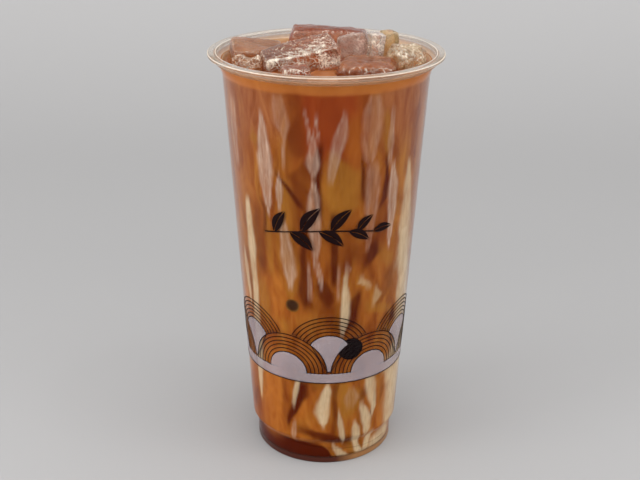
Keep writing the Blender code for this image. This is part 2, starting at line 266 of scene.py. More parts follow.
def srgb(red, green, blue):
    """A linear colour from the 0 to 255 numbers of a colour picker."""
    return tuple(
        c / 12.92 if c <= 0.04045 else ((c + 0.055) / 1.055) ** 2.4
        for c in (red / 255, green / 255, blue / 255)
    )


def colour_property(name, description, *rgb):
    return FloatVectorProperty(
        name=name, description=description, subtype="COLOR", size=3, min=0.0, max=1.0,
        default=srgb(*rgb),
    )


class TeaColours(bpy.types.PropertyGroup):
    tea: colour_property("Tea", "Milk tea between the streaks", 153, 84, 26)
    red: colour_property("Red tea", "Clear red tea under the ice", 146, 58, 20)
    rose: colour_property("Rose tea", "Milky pink tea at the top", 158, 92, 52)
    amber: colour_property("Amber", "Bright orange bands", 171, 96, 31)
    gold: colour_property("Gold", "Golden patches", 162, 106, 36)
    brown: colour_property("Brown", "Cloudy brown patches", 113, 50, 10)
    dark: colour_property("Dark", "Brown sugar trails", 82, 23, 3)
    # Painted reflection in part: some veil and cream streaks near the cup's sides stand for light
    # reflected there; the rest are milk.
    veil_and_reflection: colour_property("Veil", "Thin milky trails near the top", 196, 168, 148)
    cream_and_reflection: colour_property("Cream", "Milk running down the wall", 206, 182, 146)
    # Painted light: the tea right under the rim is painted brighter, as lit from above.
    band: colour_property("Band", "Bright tea right under the rim", 188, 112, 50)
    syrup: colour_property("Syrup", "Brown sugar syrup at the foot", 80, 20, 2)
    surface: colour_property("Surface", "Tea seen from above", 160, 98, 54)
    film: colour_property("Film", "Tea left on the wall above the surface", 180, 136, 88)


class IceLook(bpy.types.PropertyGroup):
    tint: colour_property("Tint", "Colour of clear ice", 244, 228, 212)
    frost: colour_property("Frost", "Milky frost on the ice", 238, 228, 212)
    staining: FloatProperty(
        name="Staining", description="How far tea colours the clear ice", default=0.4, min=0.0,
        max=1.0,
    )
    grain: FloatProperty(
        name="Grain", description="Voxel size that the ice is modelled with", default=0.00055,
        min=0.0003, unit="LENGTH",
    )
    pitting: FloatProperty(
        name="Pitting", description="Depth of the melted dents", default=0.0005, unit="LENGTH",
    )
    crumb: FloatProperty(
        name="Crumb", description="Size of the loose grains of ice", default=0.0008,
        unit="LENGTH",
    )


class CupLook(bpy.types.PropertyGroup):
    steps: IntProperty(name="Steps", description="Sides of the turned cup", default=240, min=24)
    plastic: colour_property("Plastic", "Clear plastic", 254, 254, 254)
    milky: colour_property("Milky", "Colour of the milky rim", 184, 168, 148)
    # Painted highlight: the colour of the bright lines painted along the rim's edges.
    edge: colour_property("Edge", "Colour of the rim's edges", 250, 238, 224)
    dried: colour_property("Dried tea", "Tea dried inside the lip", 202, 162, 120)
    residue: FloatProperty(
        name="Residue", description="How much dried tea is inside the lip", default=0.7, min=0.0,
        max=1.0)
    milkiness: FloatProperty(
        name="Milkiness", description="How milky the rolled rim is", default=0.24, min=0.0, max=1.0)
    # Painted highlight: how bright the lines painted along the rim's edges are.
    edge_light: FloatProperty(
        name="Edge light", description="How bright the rim's edges are", default=0.85, min=0.0,
        max=1.0)
    foot_tint: colour_property("Foot tint", "Syrup seen through the foot", 70, 26, 10)
    foot_pale: colour_property("Foot pale", "Milk tea seen through the foot", 150, 104, 60)
    pearl: colour_property("Pearl", "Cooked tapioca", 12, 2, 3)
    pearl_veiled: colour_property("Veiled pearl", "Tapioca behind a film of tea", 56, 28, 6)


class PrintLook(bpy.types.PropertyGroup):
    field: colour_property("Field", "Pale field of the printed band", 182, 172, 178)
    ink: colour_property("Ink", "Dark printed lines", 22, 4, 4)
    foot: FloatProperty(
        name="Foot", description="Height of the band's lower line", default=0.042, unit="LENGTH",
    )
    scales: IntProperty(name="Scales", description="Wave scales round the cup", default=6, min=3)
    core: FloatProperty(
        name="Core", description="Radius of a scale's plain middle", default=0.0088, unit="LENGTH",
    )
    rings: IntProperty(name="Rings", description="Lines round each scale", default=6, min=1)
    line: FloatProperty(
        name="Line", description="Width of a printed line", default=0.0004, unit="LENGTH",
    )
    thickness: FloatProperty(
        name="Thickness", description="Thickness of the ink", default=0.00006, unit="LENGTH",
    )


class StageLook(bpy.types.PropertyGroup):
    floor: colour_property("Floor", "Floor and backdrop", 171, 171, 172)
    world: FloatProperty(name="World", description="Strength of the even light", default=1.36)
    key: FloatProperty(
        name="Key", description="Power of the overhead light", default=6.0, unit="POWER")
    side: FloatProperty(
        name="Side", description="Power of the side lights", default=2.4, unit="POWER")
    glint: FloatProperty(
        name="Glint", description="Power of the small bright lamp", default=0.22, unit="POWER")
    lens: FloatProperty(
        name="Lens", description="Camera's focal length in millimetres", default=60.08, min=1.0,
    )


def settings(name):
    return getattr(bpy.context.scene, name)


# Shapes


def rounded(corners, arc_steps=5):
    """Points of an outline whose corners, (radius, height, fillet), are rounded by arcs."""
    points = []
    for index, (r, z, fillet) in enumerate(corners):
        corner = Vector((r, z))
        if fillet == 0 or index in (0, len(corners) - 1):
            points.append(corner)
            continue
        back = (Vector(corners[index - 1][:2]) - corner).normalized()
        on = (Vector(corners[index + 1][:2]) - corner).normalized()
        half_angle = back.angle(on) / 2
        centre = corner + (back + on).normalized() * (fillet / math.sin(half_angle))
        start = corner + back * (fillet / math.tan(half_angle)) - centre
        end = corner + on * (fillet / math.tan(half_angle)) - centre
        for step in range(arc_steps + 1):
            points.append(centre + start.slerp(end, step / arc_steps, start) * fillet)
    return points


INNER_CORNERS = [
    (0.0, FLOOR_TOP, 0),
    (FOOT_RADIUS - WALL, FLOOR_TOP, 1.6),
    (FOOT_TOP_RADIUS - WALL, STEP_HEIGHT, 0.8),
    (WALL_FOOT_RADIUS - WALL, WALL_FOOT_HEIGHT, 0.8),
    (WALL_TOP_RADIUS - WALL, HEIGHT - BAND_DROP, 0),
    (BAND_TOP_RADIUS - WALL, HEIGHT - COLLAR_DROP - 0.4, 0.4),
    (MOUTH_RADIUS - 0.3, HEIGHT - COLLAR_DROP + 0.4, 0.4),
    (MOUTH_RADIUS, HEIGHT, 0.4),
]
OUTER_CORNERS = [
    (RIM_RADIUS, HEIGHT, 0.5),
    (RIM_RADIUS, HEIGHT - LIP_DROP, 0.4),
    (COLLAR_RADIUS, HEIGHT - LIP_DROP - 0.2, 0.3),
    (COLLAR_RADIUS - 0.3, HEIGHT - COLLAR_DROP, 0.3),
    (BAND_TOP_RADIUS, HEIGHT - COLLAR_DROP - 1.0, 0.4),
    (WALL_TOP_RADIUS + 0.4, HEIGHT - BAND_DROP + 0.3, 0),
    (WALL_TOP_RADIUS, HEIGHT - BAND_DROP, 0),
    (WALL_FOOT_RADIUS, WALL_FOOT_HEIGHT, 1.0),
    (FOOT_TOP_RADIUS, STEP_HEIGHT, 1.0),
    (FOOT_RADIUS, 0.0, 0.7),
    (FOOT_RADIUS - FOOT_RING_WIDTH, 0.0, 0.3),
    (FOOT_RADIUS - FOOT_RING_WIDTH - 0.4, FLOOR_UNDERSIDE, 0.3),
    (0.0, FLOOR_UNDERSIDE, 0),
]
INSIDE = rounded(INNER_CORNERS[:6] + [(BAND_TOP_RADIUS, HEIGHT, 0)])


def inner_radius(height):
    """The cup's inside radius at a height, for one height or an array of them."""
    return np.interp(height, [p.y for p in INSIDE[1:]], [p.x for p in INSIDE[1:]])


def wall_radius(height):
    """The outer radius of the cup's straight wall at a height."""
    share = (height - WALL_FOOT_HEIGHT) / (HEIGHT - BAND_DROP - WALL_FOOT_HEIGHT)
    return WALL_FOOT_RADIUS + (WALL_TOP_RADIUS - WALL_FOOT_RADIUS) * share


def round_axis(azimuth, radius, height):
    """Points from azimuth in degrees, distance from the cup's axis and height."""
    turn = np.radians(azimuth)
    return np.stack(
        np.broadcast_arrays(radius * np.sin(turn), -radius * np.cos(turn), height), axis=-1)


def new_object(name, mesh):
    obj = bpy.data.objects.new(name, mesh)
    bpy.context.scene.collection.objects.link(obj)
    return obj


def object_from(bm, name):
    mesh = bpy.data.meshes.new(name)
    bm.to_mesh(mesh)
    bm.free()
    return new_object(name, mesh)


def mesh_from(name, points, faces):
    mesh = bpy.data.meshes.new(name)
    mesh.from_pydata([tuple(p) for p in points], [], [tuple(int(i) for i in f) for f in faces])
    mesh.validate()
    return mesh


def outward(mesh):
    """Merge doubled points and turn every face outwards."""
    bm = bmesh.new()
    bm.from_mesh(mesh)
    bmesh.ops.remove_doubles(bm, verts=bm.verts, dist=SAME_POINT)
    bmesh.ops.recalc_face_normals(bm, faces=bm.faces)
    bm.to_mesh(mesh)
    bm.free()
    mesh.update()


def as_plain_mesh(obj):
    """Replace an object's mesh by what its modifiers make of it, and drop the modifiers."""
    graph = bpy.context.evaluated_depsgraph_get()
    mesh = bpy.data.meshes.new_from_object(obj.evaluated_get(graph))
    obj.modifiers.clear()
    obj.data = mesh


def cut(obj, cutter):
    """Cut an object with another, which is then removed."""
    modifier = obj.modifiers.new("Cut", "BOOLEAN")
    modifier.operation = "DIFFERENCE"
    modifier.object = cutter
    modifier.solver = "MANIFOLD"
    as_plain_mesh(obj)
    bpy.data.objects.remove(cutter, do_unlink=True)


def finish_piece(obj, material, replaced=None, smooth_shaded=True):
    """Give a piece its material, and say what it rides on, is made of and replaces."""
    obj.data.materials.clear()
    obj.data.materials.append(material)
    if smooth_shaded:
        obj.data.shade_smooth()
    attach(obj, "root")
    if replaced:
        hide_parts(replaced)


# Node trees


def new_tree(name, inputs):
    tree = bpy.data.node_groups.new(name, "GeometryNodeTree")
    face = tree.interface
    face.new_socket("Geometry", in_out="INPUT", socket_type="NodeSocketGeometry")
    face.new_socket("Geometry", in_out="OUTPUT", socket_type="NodeSocketGeometry")
    for label, kind, default in (*inputs, ("Material", "Material", None)):
        socket = face.new_socket(label, in_out="INPUT", socket_type="NodeSocket" + kind)
        if default is not None:
            socket.default_value = default
    return tree, tree.nodes.new("NodeGroupInput").outputs


def node(tree, kind, inputs=None, **values):
    """Add a node, set its values, and link or set its inputs."""
    made = tree.nodes.new(kind)
    for key, value in values.items():
        setattr(made, key, value)
    for key, value in (inputs or {}).items():
        socket = made.inputs[key]
        if isinstance(value, bpy.types.NodeSocket):
            tree.links.new(value, socket)
        else:
            socket.default_value = value
    return made


def maths(tree, operation, *operands):
    return node(
        tree, "ShaderNodeMath", dict(enumerate(operands)), operation=operation
    ).outputs[0]


def times(tree, first, *others):
    """The product of several values."""
    for other in others:
        first = maths(tree, "MULTIPLY", first, other)
    return first


def most(tree, first, *others):
    """The largest of several values."""
    for other in others:
        first = maths(tree, "MAXIMUM", first, other)
    return first


def distance(tree, across, along):
    return maths(tree, "SQRT", maths(
        tree, "ADD", maths(tree, "POWER", across, 2.0), maths(tree, "POWER", along, 2.0)))


def split(tree, vector):
    """A vector's X, Y and Z."""
    return node(tree, "ShaderNodeSeparateXYZ", {0: vector}).outputs


def joined(tree, **parts):
    """A vector of the given X, Y and Z."""
    return node(tree, "ShaderNodeCombineXYZ", parts).outputs[0]


def position(tree):
    return node(tree, "GeometryNodeInputPosition").outputs[0]


def made_real(tree, geometry):
    return node(
        tree, "GeometryNodeRealizeInstances", {"Geometry": geometry}).outputs[0]


def end_tree(tree, geometry, material):
    coated = node(tree, "GeometryNodeSetMaterial", {
        "Geometry": made_real(tree, geometry), "Material": material})
    tree.links.new(coated.outputs[0], tree.nodes.new("NodeGroupOutput").inputs[0])


def run_tree(obj, tree, values):
    """Set a tree's inputs by their identifiers, and turn the result into a plain mesh."""
    modifier = obj.modifiers.new(tree.name, "NODES")
    modifier.node_group = tree
    for item in tree.interface.items_tree:
        if item.in_out == "INPUT" and item.name in values:
            modifier[item.identifier] = values[item.name]
    as_plain_mesh(obj)
    outward(obj.data)
    return obj


def turning_tree():
    """Turns an outline of (radius, 0, height) points about the Z axis."""
    tree, given = new_tree("Turn about the axis", (("Steps", "Int", 64),))
    outline, steps = given["Geometry"], given["Steps"]
    count = node(
        tree, "GeometryNodeAttributeDomainSize", {"Geometry": outline}).outputs["Point Count"]
    grid = node(tree, "GeometryNodeMeshGrid", {
        "Vertices X": maths(tree, "ADD", steps, 1.0), "Vertices Y": count,
    })
    index = node(tree, "GeometryNodeInputIndex").outputs[0]
    column = maths(tree, "FLOOR", maths(tree, "DIVIDE", index, count))
    point = split(tree, node(
        tree, "GeometryNodeSampleIndex",
        {"Geometry": outline, "Value": position(tree), "Index": maths(
            tree, "MODULO", index, count)}, data_type="FLOAT_VECTOR",
    ).outputs[0])
    angle = times(tree, maths(tree, "DIVIDE", column, steps), TAU)
    placed = node(tree, "GeometryNodeSetPosition", {
        "Geometry": grid.outputs[0], "Position": joined(
            tree, X=times(tree, point["X"], maths(tree, "COSINE", angle)),
            Y=times(tree, point["X"], maths(tree, "SINE", angle)), Z=point["Z"]),
    })
    merged = node(
        tree, "GeometryNodeMergeByDistance", {"Geometry": placed.outputs[0], "Distance": 1e-6})
    end_tree(tree, merged.outputs[0], given["Material"])
    return tree


def turned(name, outline, steps, material):
    """A closed solid turned from an outline given as (radius, height) in millimetres."""
    mesh = bpy.data.meshes.new(name)
    mesh.from_pydata(
        [(r * MM, 0.0, z * MM) for r, z in outline],
        [(i, i + 1) for i in range(len(outline) - 1)], [])
    return run_tree(new_object(name, mesh), turning_tree(), {"Steps": steps, "Material": material})


def ripple_tree():
    """Rows of wave scales: rings round each centre, hidden behind the row in front, on the cup."""
    tree, given = new_tree("Wave scales", (
        ("Scales", "Int", 8), ("Rings", "Int", 5), ("Core", "Float", 0.006),
        ("Spacing", "Float", 0.0014), ("Pitch", "Float", 0.027), ("Foot", "Float", 0.046),
        ("Row rise", "Float", 0.01), ("Line", "Float", 0.0004), ("Thickness", "Float", 0.00006),
        ("Unrolled radius", "Float", 0.034), ("Radius at zero", "Float", 0.0313),
        ("Slope", "Float", 0.063),
    ))
    pitch, foot = given["Pitch"], given["Foot"]
    # One scale's rings: circles on points that carry each ring's radius.
    rings = node(tree, "GeometryNodeMeshLine", {
        "Count": given["Rings"], "Start Location": (0, 0, 0), "Offset": (0, 0, 0),
    })
    circle = node(
        tree, "GeometryNodeCurvePrimitiveCircle", {"Resolution": 160, "Radius": 1.0}, mode="RADIUS"
    )
    number = node(tree, "GeometryNodeInputIndex").outputs[0]
    radius = maths(tree, "MULTIPLY_ADD", number, given["Spacing"], given["Core"])
    one_scale = node(tree, "GeometryNodeInstanceOnPoints", {
        "Points": rings.outputs[0], "Instance": circle.outputs[0],
        "Scale": joined(tree, X=radius, Y=radius, Z=1.0),
    })
    # Two rows of scales on the unrolled cup, X round it and Y up.
    both_rows = node(tree, "GeometryNodeJoinGeometry")
    extent = maths(
        tree, "MULTIPLY_ADD", maths(tree, "SUBTRACT", given["Rings"], 1.0), given["Spacing"],
        given["Core"])
    for shift, rise in ((0.0, 0.0), (0.5, 1.0)):
        line = node(tree, "GeometryNodeMeshLine", {
            "Count": given["Scales"], "Start Location": joined(
                tree, X=times(tree, pitch, shift + PHASE),
                Y=maths(tree, "MULTIPLY_ADD", given["Row rise"], rise, foot)),
            "Offset": joined(tree, X=pitch),
        })
        row = node(tree, "GeometryNodeInstanceOnPoints", {
            "Points": line.outputs[0], "Instance": one_scale.outputs[0],
        })
        place = split(tree, position(tree))
        hidden = maths(tree, "LESS_THAN", place["Y"], foot)
        if rise:
            # Behind the front row: nearer than a whole scale to one of its centres.
            cell = maths(tree, "ADD", maths(tree, "DIVIDE", place["X"], pitch), 0.5 - PHASE)
            across = times(
                tree, maths(tree, "SUBTRACT", maths(tree, "FRACT", cell), 0.5), pitch)
            away = distance(tree, across, maths(tree, "SUBTRACT", place["Y"], foot))
            hidden = most(tree, hidden, maths(tree, "LESS_THAN", away, extent))
        kept = node(
            tree, "GeometryNodeDeleteGeometry",
            {"Geometry": made_real(tree, row.outputs[0]), "Selection": hidden}, domain="POINT")
        tree.links.new(kept.outputs[0], both_rows.inputs[0])
    flat = node(tree, "GeometryNodeSetCurveNormal", {"Curve": both_rows.outputs[0]})
    profile = node(
        tree, "GeometryNodeCurvePrimitiveQuadrilateral",
        {"Width": given["Line"], "Height": given["Thickness"]}, mode="RECTANGLE",
    )
    ribbon = node(tree, "GeometryNodeCurveToMesh", {
        "Curve": flat.outputs[0], "Profile Curve": profile.outputs[0], "Fill Caps": True,
    })
    # Roll the flat lines round the cup's cone.
    place = split(tree, position(tree))
    wall = maths(tree, "MULTIPLY_ADD", place["Y"], given["Slope"], given["Radius at zero"])
    reach = maths(tree, "ADD", wall, place["Z"])
    angle = maths(tree, "DIVIDE", place["X"], given["Unrolled radius"])
    rolled = node(tree, "GeometryNodeSetPosition", {
        "Geometry": ribbon.outputs[0], "Position": joined(
            tree, X=times(tree, reach, maths(tree, "SINE", angle)),
            Y=times(tree, reach, maths(tree, "COSINE", angle), -1.0), Z=place["Y"]),
    })
    end_tree(tree, rolled.outputs[0], given["Material"])
    return tree


def crumb_tree():
    """Scatters small grains, all turned and sized differently, where a surface has frost."""
    tree, given = new_tree("Loose grains", (
        ("Density", "Float", 1e6), ("Size", "Float", 0.0008), ("Seed", "Int", 1),
    ))
    frost = node(tree, "GeometryNodeInputNamedAttribute", {"Name": "frost"}, data_type="FLOAT")
    spread = node(tree, "GeometryNodeDistributePointsOnFaces", {
        "Mesh": given["Geometry"], "Seed": given["Seed"],
        "Density": times(tree, given["Density"], most(tree, frost.outputs[0], 0.0)),
    })
    grain = node(tree, "GeometryNodeMeshIcoSphere", {"Radius": 0.5, "Subdivisions": 1})
    turn, size = (
        node(tree, "FunctionNodeRandomValue", {
            0: least, 1: largest, "Seed": given["Seed"]}, data_type="FLOAT_VECTOR").outputs[0]
        for least, largest in (
            ((0.0, 0.0, 0.0), (TAU, TAU, TAU)), ((0.35, 0.3, 0.25), (1.6, 0.9, 0.7)))
    )
    scaled = node(
        tree, "ShaderNodeVectorMath", {0: size, "Scale": given["Size"]}, operation="SCALE")
    placed = node(tree, "GeometryNodeInstanceOnPoints", {
        "Points": spread.outputs[0], "Instance": grain.outputs[0], "Rotation": turn,
        "Scale": scaled.outputs[0],
    })
    end_tree(tree, placed.outputs[0], given["Material"])
    return tree


# Materials


def new_material(name):
    material = bpy.data.materials.new(name)
    material.use_nodes = True
    return material, material.node_tree, material.node_tree.nodes["Principled BSDF"]


def set_shader(shader, **values):
    """Set or link a shader's inputs, written with _ for a space."""
    for label, value in values.items():
        socket = shader.inputs[label.replace("_", " ")]
        if isinstance(value, bpy.types.NodeSocket):
            shader.id_data.links.new(value, socket)
        else:
            socket.default_value = opaque(value) if socket.type == "RGBA" else value


def opaque(colour):
    return (*colour, 1.0)


def show(tree, surface):
    tree.links.new(surface, tree.nodes["Material Output"].inputs["Surface"])


def object_point(tree):
    return node(tree, "ShaderNodeTexCoord").outputs["Object"]


def attribute(tree, name):
    return node(tree, "ShaderNodeAttribute", attribute_name=name).outputs


def flat_colour(tree, colour):
    made = node(tree, "ShaderNodeRGB")
    made.outputs[0].default_value = opaque(colour)
    return made.outputs[0]


def ramp(tree, value, start, end, first=0.0, last=1.0, **values):
    """Goes from first to last while a value goes from start to end."""
    return node(tree, "ShaderNodeMapRange", {
        "Value": value, "From Min": start, "From Max": end, "To Min": first, "To Max": last,
    }, **values).outputs[0]


def span(tree, value, start, end, first=0.0, last=1.0):
    """A ramp between two places that are given in millimetres."""
    return ramp(tree, value, start * MM, end * MM, first, last)


def mix_colours(tree, share, first, second):
    return node(
        tree, "ShaderNodeMix", {0: share, 6: first, 7: second}, data_type="RGBA").outputs[2]


def mix_surfaces(tree, share, first, second):
    return node(tree, "ShaderNodeMixShader", {0: share, 1: first, 2: second}).outputs[0]


def brighten(tree, colour, value):
    """A colour, as a socket, times a value."""
    return node(
        tree, "ShaderNodeVectorMath", {0: colour, 1: value}, operation="MULTIPLY").outputs[0]


def grain_group():
    """Fine unevenness shared by the finishes: a value about 1 and a height for bump."""
    name = "Fine grain"
    if name in bpy.data.node_groups:
        return bpy.data.node_groups[name]
    tree = bpy.data.node_groups.new(name, "ShaderNodeTree")
    for side, label, kind, default in (
        ("INPUT", "Scale", "Float", 400.0), ("INPUT", "Detail", "Float", 3.0),
        ("INPUT", "Spread", "Float", 0.1), ("INPUT", "Vector", "Vector", None),
        ("OUTPUT", "Value", "Float", None), ("OUTPUT", "Height", "Float", None),
    ):
        socket = tree.interface.new_socket(
            label, in_out=side, socket_type="NodeSocket" + kind)
        if default is not None:
            socket.default_value = default
    given = tree.nodes.new("NodeGroupInput").outputs
    out = tree.nodes.new("NodeGroupOutput").inputs
    height = node(tree, "ShaderNodeTexNoise", {
        "Vector": given["Vector"], "Scale": given["Scale"], "Detail": given["Detail"],
    }).outputs["Fac"]
    spread = times(tree, maths(tree, "SUBTRACT", height, 0.5), given["Spread"])
    tree.links.new(maths(tree, "MULTIPLY_ADD", spread, 2.0, 1.0), out["Value"])
    tree.links.new(height, out["Height"])
    return tree


def add_grain(tree, scale, detail, spread, stretch=(1, 1, 1)):
    """The grain group's outputs, on the object's own coordinates."""
    mapped = node(tree, "ShaderNodeMapping", {"Vector": object_point(tree), "Scale": stretch})
    return node(tree, "ShaderNodeGroup", {
        "Vector": mapped.outputs[0], "Scale": scale, "Detail": detail, "Spread": spread,
    }, node_tree=grain_group()).outputs


def add_bump(tree, shader, height, depth):
    bump = node(tree, "ShaderNodeBump", {"Height": height, "Distance": depth, "Strength": 1.0})
    tree.links.new(bump.outputs[0], shader.inputs["Normal"])


def lamps_pass(tree, shader, colour):
    """A surface that lamps shine through in a colour, and that the shader gives otherwise."""
    clear = node(tree, "ShaderNodeBsdfTransparent", {"Color": colour})
    shadow = node(tree, "ShaderNodeLightPath").outputs["Is Shadow Ray"]
    return mix_surfaces(tree, shadow, shader.outputs[0], clear.outputs[0])


# The rim's painted highlights, bright lines along its edges: radius, height and reach.
RIM_HIGHLIGHTS = (
    (MOUTH_RADIUS + 0.35, HEIGHT, 0.45),
    (RIM_RADIUS - 0.1, HEIGHT - 0.15, 0.5),
    (RIM_RADIUS - 0.1, HEIGHT - LIP_DROP, 0.3),
)
# Heights between which tea shows in the foot's ring, and between which the foot passes light.
FOOT_STAIN = (3.8, 2.4)
FOOT_SHADE = (2.0, 6.0)
# Where the foot's syrup gives way to milk tea, towards +X.
FOOT_MILKY_FROM, FOOT_MILKY_TO = 5.0, 13.0


def plastic_material(look):
    """Clear plastic that turns milky in the thick rolled rim and stained in the foot's ring, with
    painted highlights along the rim's edges.
    """
    material, tree, shader = new_material("Clear cup plastic")
    grain = add_grain(tree, 60.0, 2.0, 0.5)
    set_shader(
        shader, Base_Color=tuple(look.plastic), Transmission_Weight=1.0, IOR=1.18,
        Roughness=times(tree, grain["Value"], 0.035))
    add_bump(tree, shader, grain["Height"], 0.00001)

    clouds = add_grain(tree, 350.0, 4.0, 0.12)["Value"]
    place = split(tree, object_point(tree))
    out, up = distance(tree, place["X"], place["Y"]), place["Z"]
    facing = node(tree, "ShaderNodeLayerWeight", {"Blend": 0.35}).outputs["Facing"]
    milkiness = times(
        tree, span(tree, up, HEIGHT - 4.6, HEIGHT - 2.4),
        span(tree, out, MOUTH_RADIUS - 0.6, MOUTH_RADIUS + 1.0, 0.12, 1.0),
        maths(tree, "MULTIPLY_ADD", facing, 0.9, 0.55), look.milkiness)
    # Painted highlights: bright lines along the rim's edges, mixed in with the milky colour.
    edges = 0.0
    for radius, height, reach in RIM_HIGHLIGHTS:
        away = distance(
            tree, maths(tree, "SUBTRACT", out, radius * MM),
            maths(tree, "SUBTRACT", up, height * MM))
        edges = most(tree, edges, span(tree, away, reach, 0.0, 0.0, look.edge_light))
    # Tea that has dried inside the lip, less of it at the back.
    residue = times(
        tree, span(tree, up, HEIGHT - 0.4, HEIGHT - 2.6, 0.0, look.residue),
        span(tree, out, MOUTH_RADIUS + 0.3, MOUTH_RADIUS),
        span(tree, up, HEIGHT - 4.4, HEIGHT - 3.6),
        span(tree, place["Y"], -10.0, 10.0, 0.5, 1.0))
    stain = span(tree, up, *FOOT_STAIN)
    foot_colour = mix_colours(
        tree, span(tree, times(tree, place["X"], clouds), FOOT_MILKY_FROM, FOOT_MILKY_TO),
        opaque(look.foot_tint), opaque(look.foot_pale))

    colour = opaque(look.milky)
    for share, tint in (
        (times(tree, residue, 1.4), opaque(look.dried)),
        (edges, opaque(look.edge)),
        (maths(tree, "GREATER_THAN", stain, 0.0), foot_colour),
    ):
        colour = mix_colours(tree, share, colour, tint)
    milk = node(tree, "ShaderNodeBsdfPrincipled")
    set_shader(
        milk, Base_Color=brighten(tree, colour, clouds), Roughness=0.35,
        Specular_IOR_Level=0.3)
    amount = most(tree, times(tree, most(tree, milkiness, edges, residue), clouds), stain)
    pane = lamps_pass(tree, shader, span(tree, up, *FOOT_SHADE, 0.2, 0.98))
    show(tree, mix_surfaces(tree, amount, pane, milk.outputs[0]))
    return material


def flowing_noise(tree, stretch, scale, detail, roughness, distortion, start=(0, 0, 0)):
    placed = node(tree, "ShaderNodeMapping", {
        "Vector": object_point(tree), "Location": start, "Scale": stretch})
    return node(tree, "ShaderNodeTexNoise", {
        "Vector": placed.outputs[0], "Scale": scale, "Detail": detail, "Roughness": roughness,
        "Distortion": distortion,
    }).outputs["Fac"]


def tea_material(name, colours, wet_roughness):
    """Opaque milky tea. Its points carry a ground colour, how much of four kinds of streak covers
    them, and wetness; fine threads running down the wall give the streaks their edges."""
    material, tree, shader = new_material(name)
    ground, streaks = attribute(tree, "ground"), attribute(tree, "streaks")
    wet = attribute(tree, "wet")["Fac"]
    kinds = node(tree, "ShaderNodeSeparateColor", {0: streaks["Color"]}).outputs
    fine = add_grain(tree, 1250.0, 3.0, 0.5, (1.0, 1.0, 0.13))["Height"]
    broad = add_grain(tree, 430.0, 3.0, 0.5, (1.0, 1.0, 0.3))["Height"]
    threads = maths(
        tree, "MULTIPLY_ADD", fine, 0.45, maths(tree, "MULTIPLY_ADD", broad, 0.55, -0.5))
    drift = flowing_noise(tree, (1.0, 1.0, 0.38), 130.0, 4.0, 0.55, 1.1)
    # Marbling darkens the ground towards red and lightens it towards cream.
    depth = node(tree, "ShaderNodeMapRange", {
        6: maths(tree, "MULTIPLY_ADD", threads, 0.25, drift),
        7: (0.34, 0.34, 0.34), 8: (0.66, 0.66, 0.66),
        9: (0.74, 0.58, 0.44), 10: (1.2, 1.34, 1.5),
    }, data_type="FLOAT_VECTOR").outputs[1]
    calmed = node(tree, "ShaderNodeMix", {
        0: ground["Alpha"], 4: depth, 5: (1.0, 1.0, 1.0),
    }, data_type="VECTOR").outputs[1]
    colour = brighten(tree, ground["Color"], calmed)

    breaks = flowing_noise(tree, (1.0, 1.0, 0.5), 170.0, 3.0, 0.5, 0.6, (0.3, 0.1, 0.7))
    fade = ramp(tree, breaks, 0.36, 0.56, 0.72, 1.0)
    sparkle = maths(tree, "SUBTRACT", maths(tree, "ADD", fine, drift), 1.0)
    # Gold, dark, veil and cream streaks; some veil and cream ones near the cup's sides are painted
    # reflections.
    for kind, cover, ragging, glow in (
        ("gold", kinds[1], 1.0, 0.3),
        ("dark", kinds[0], 1.0, 0.3),
        ("veil_and_reflection", times(tree, fade, kinds[2]), 2.2, 0.35),
        ("cream_and_reflection", times(tree, fade, streaks["Alpha"]), 0.8, 0.3),
    ):
        # Threads run through a streak: its cover goes up and down with them.
        torn = times(tree, cover, maths(tree, "MULTIPLY_ADD", threads, ragging, 1.0))
        tone = flat_colour(tree, getattr(colours, kind))
        lit = maths(tree, "MULTIPLY_ADD", sparkle, glow, 1.0)
        colour = mix_colours(tree, torn, colour, brighten(tree, tone, lit))
    set_shader(
        shader, Base_Color=colour, Specular_IOR_Level=0.0, Coat_Roughness=0.04,
        Roughness=maths(tree, "MULTIPLY_ADD", wet, wet_roughness - 0.6, 0.6),
        Coat_Weight=times(tree, wet, 0.8))
    ripples = add_grain(tree, 160.0, 2.0, 0.1)["Height"]
    add_bump(tree, shader, times(tree, ripples, wet), 0.0012)
    return material


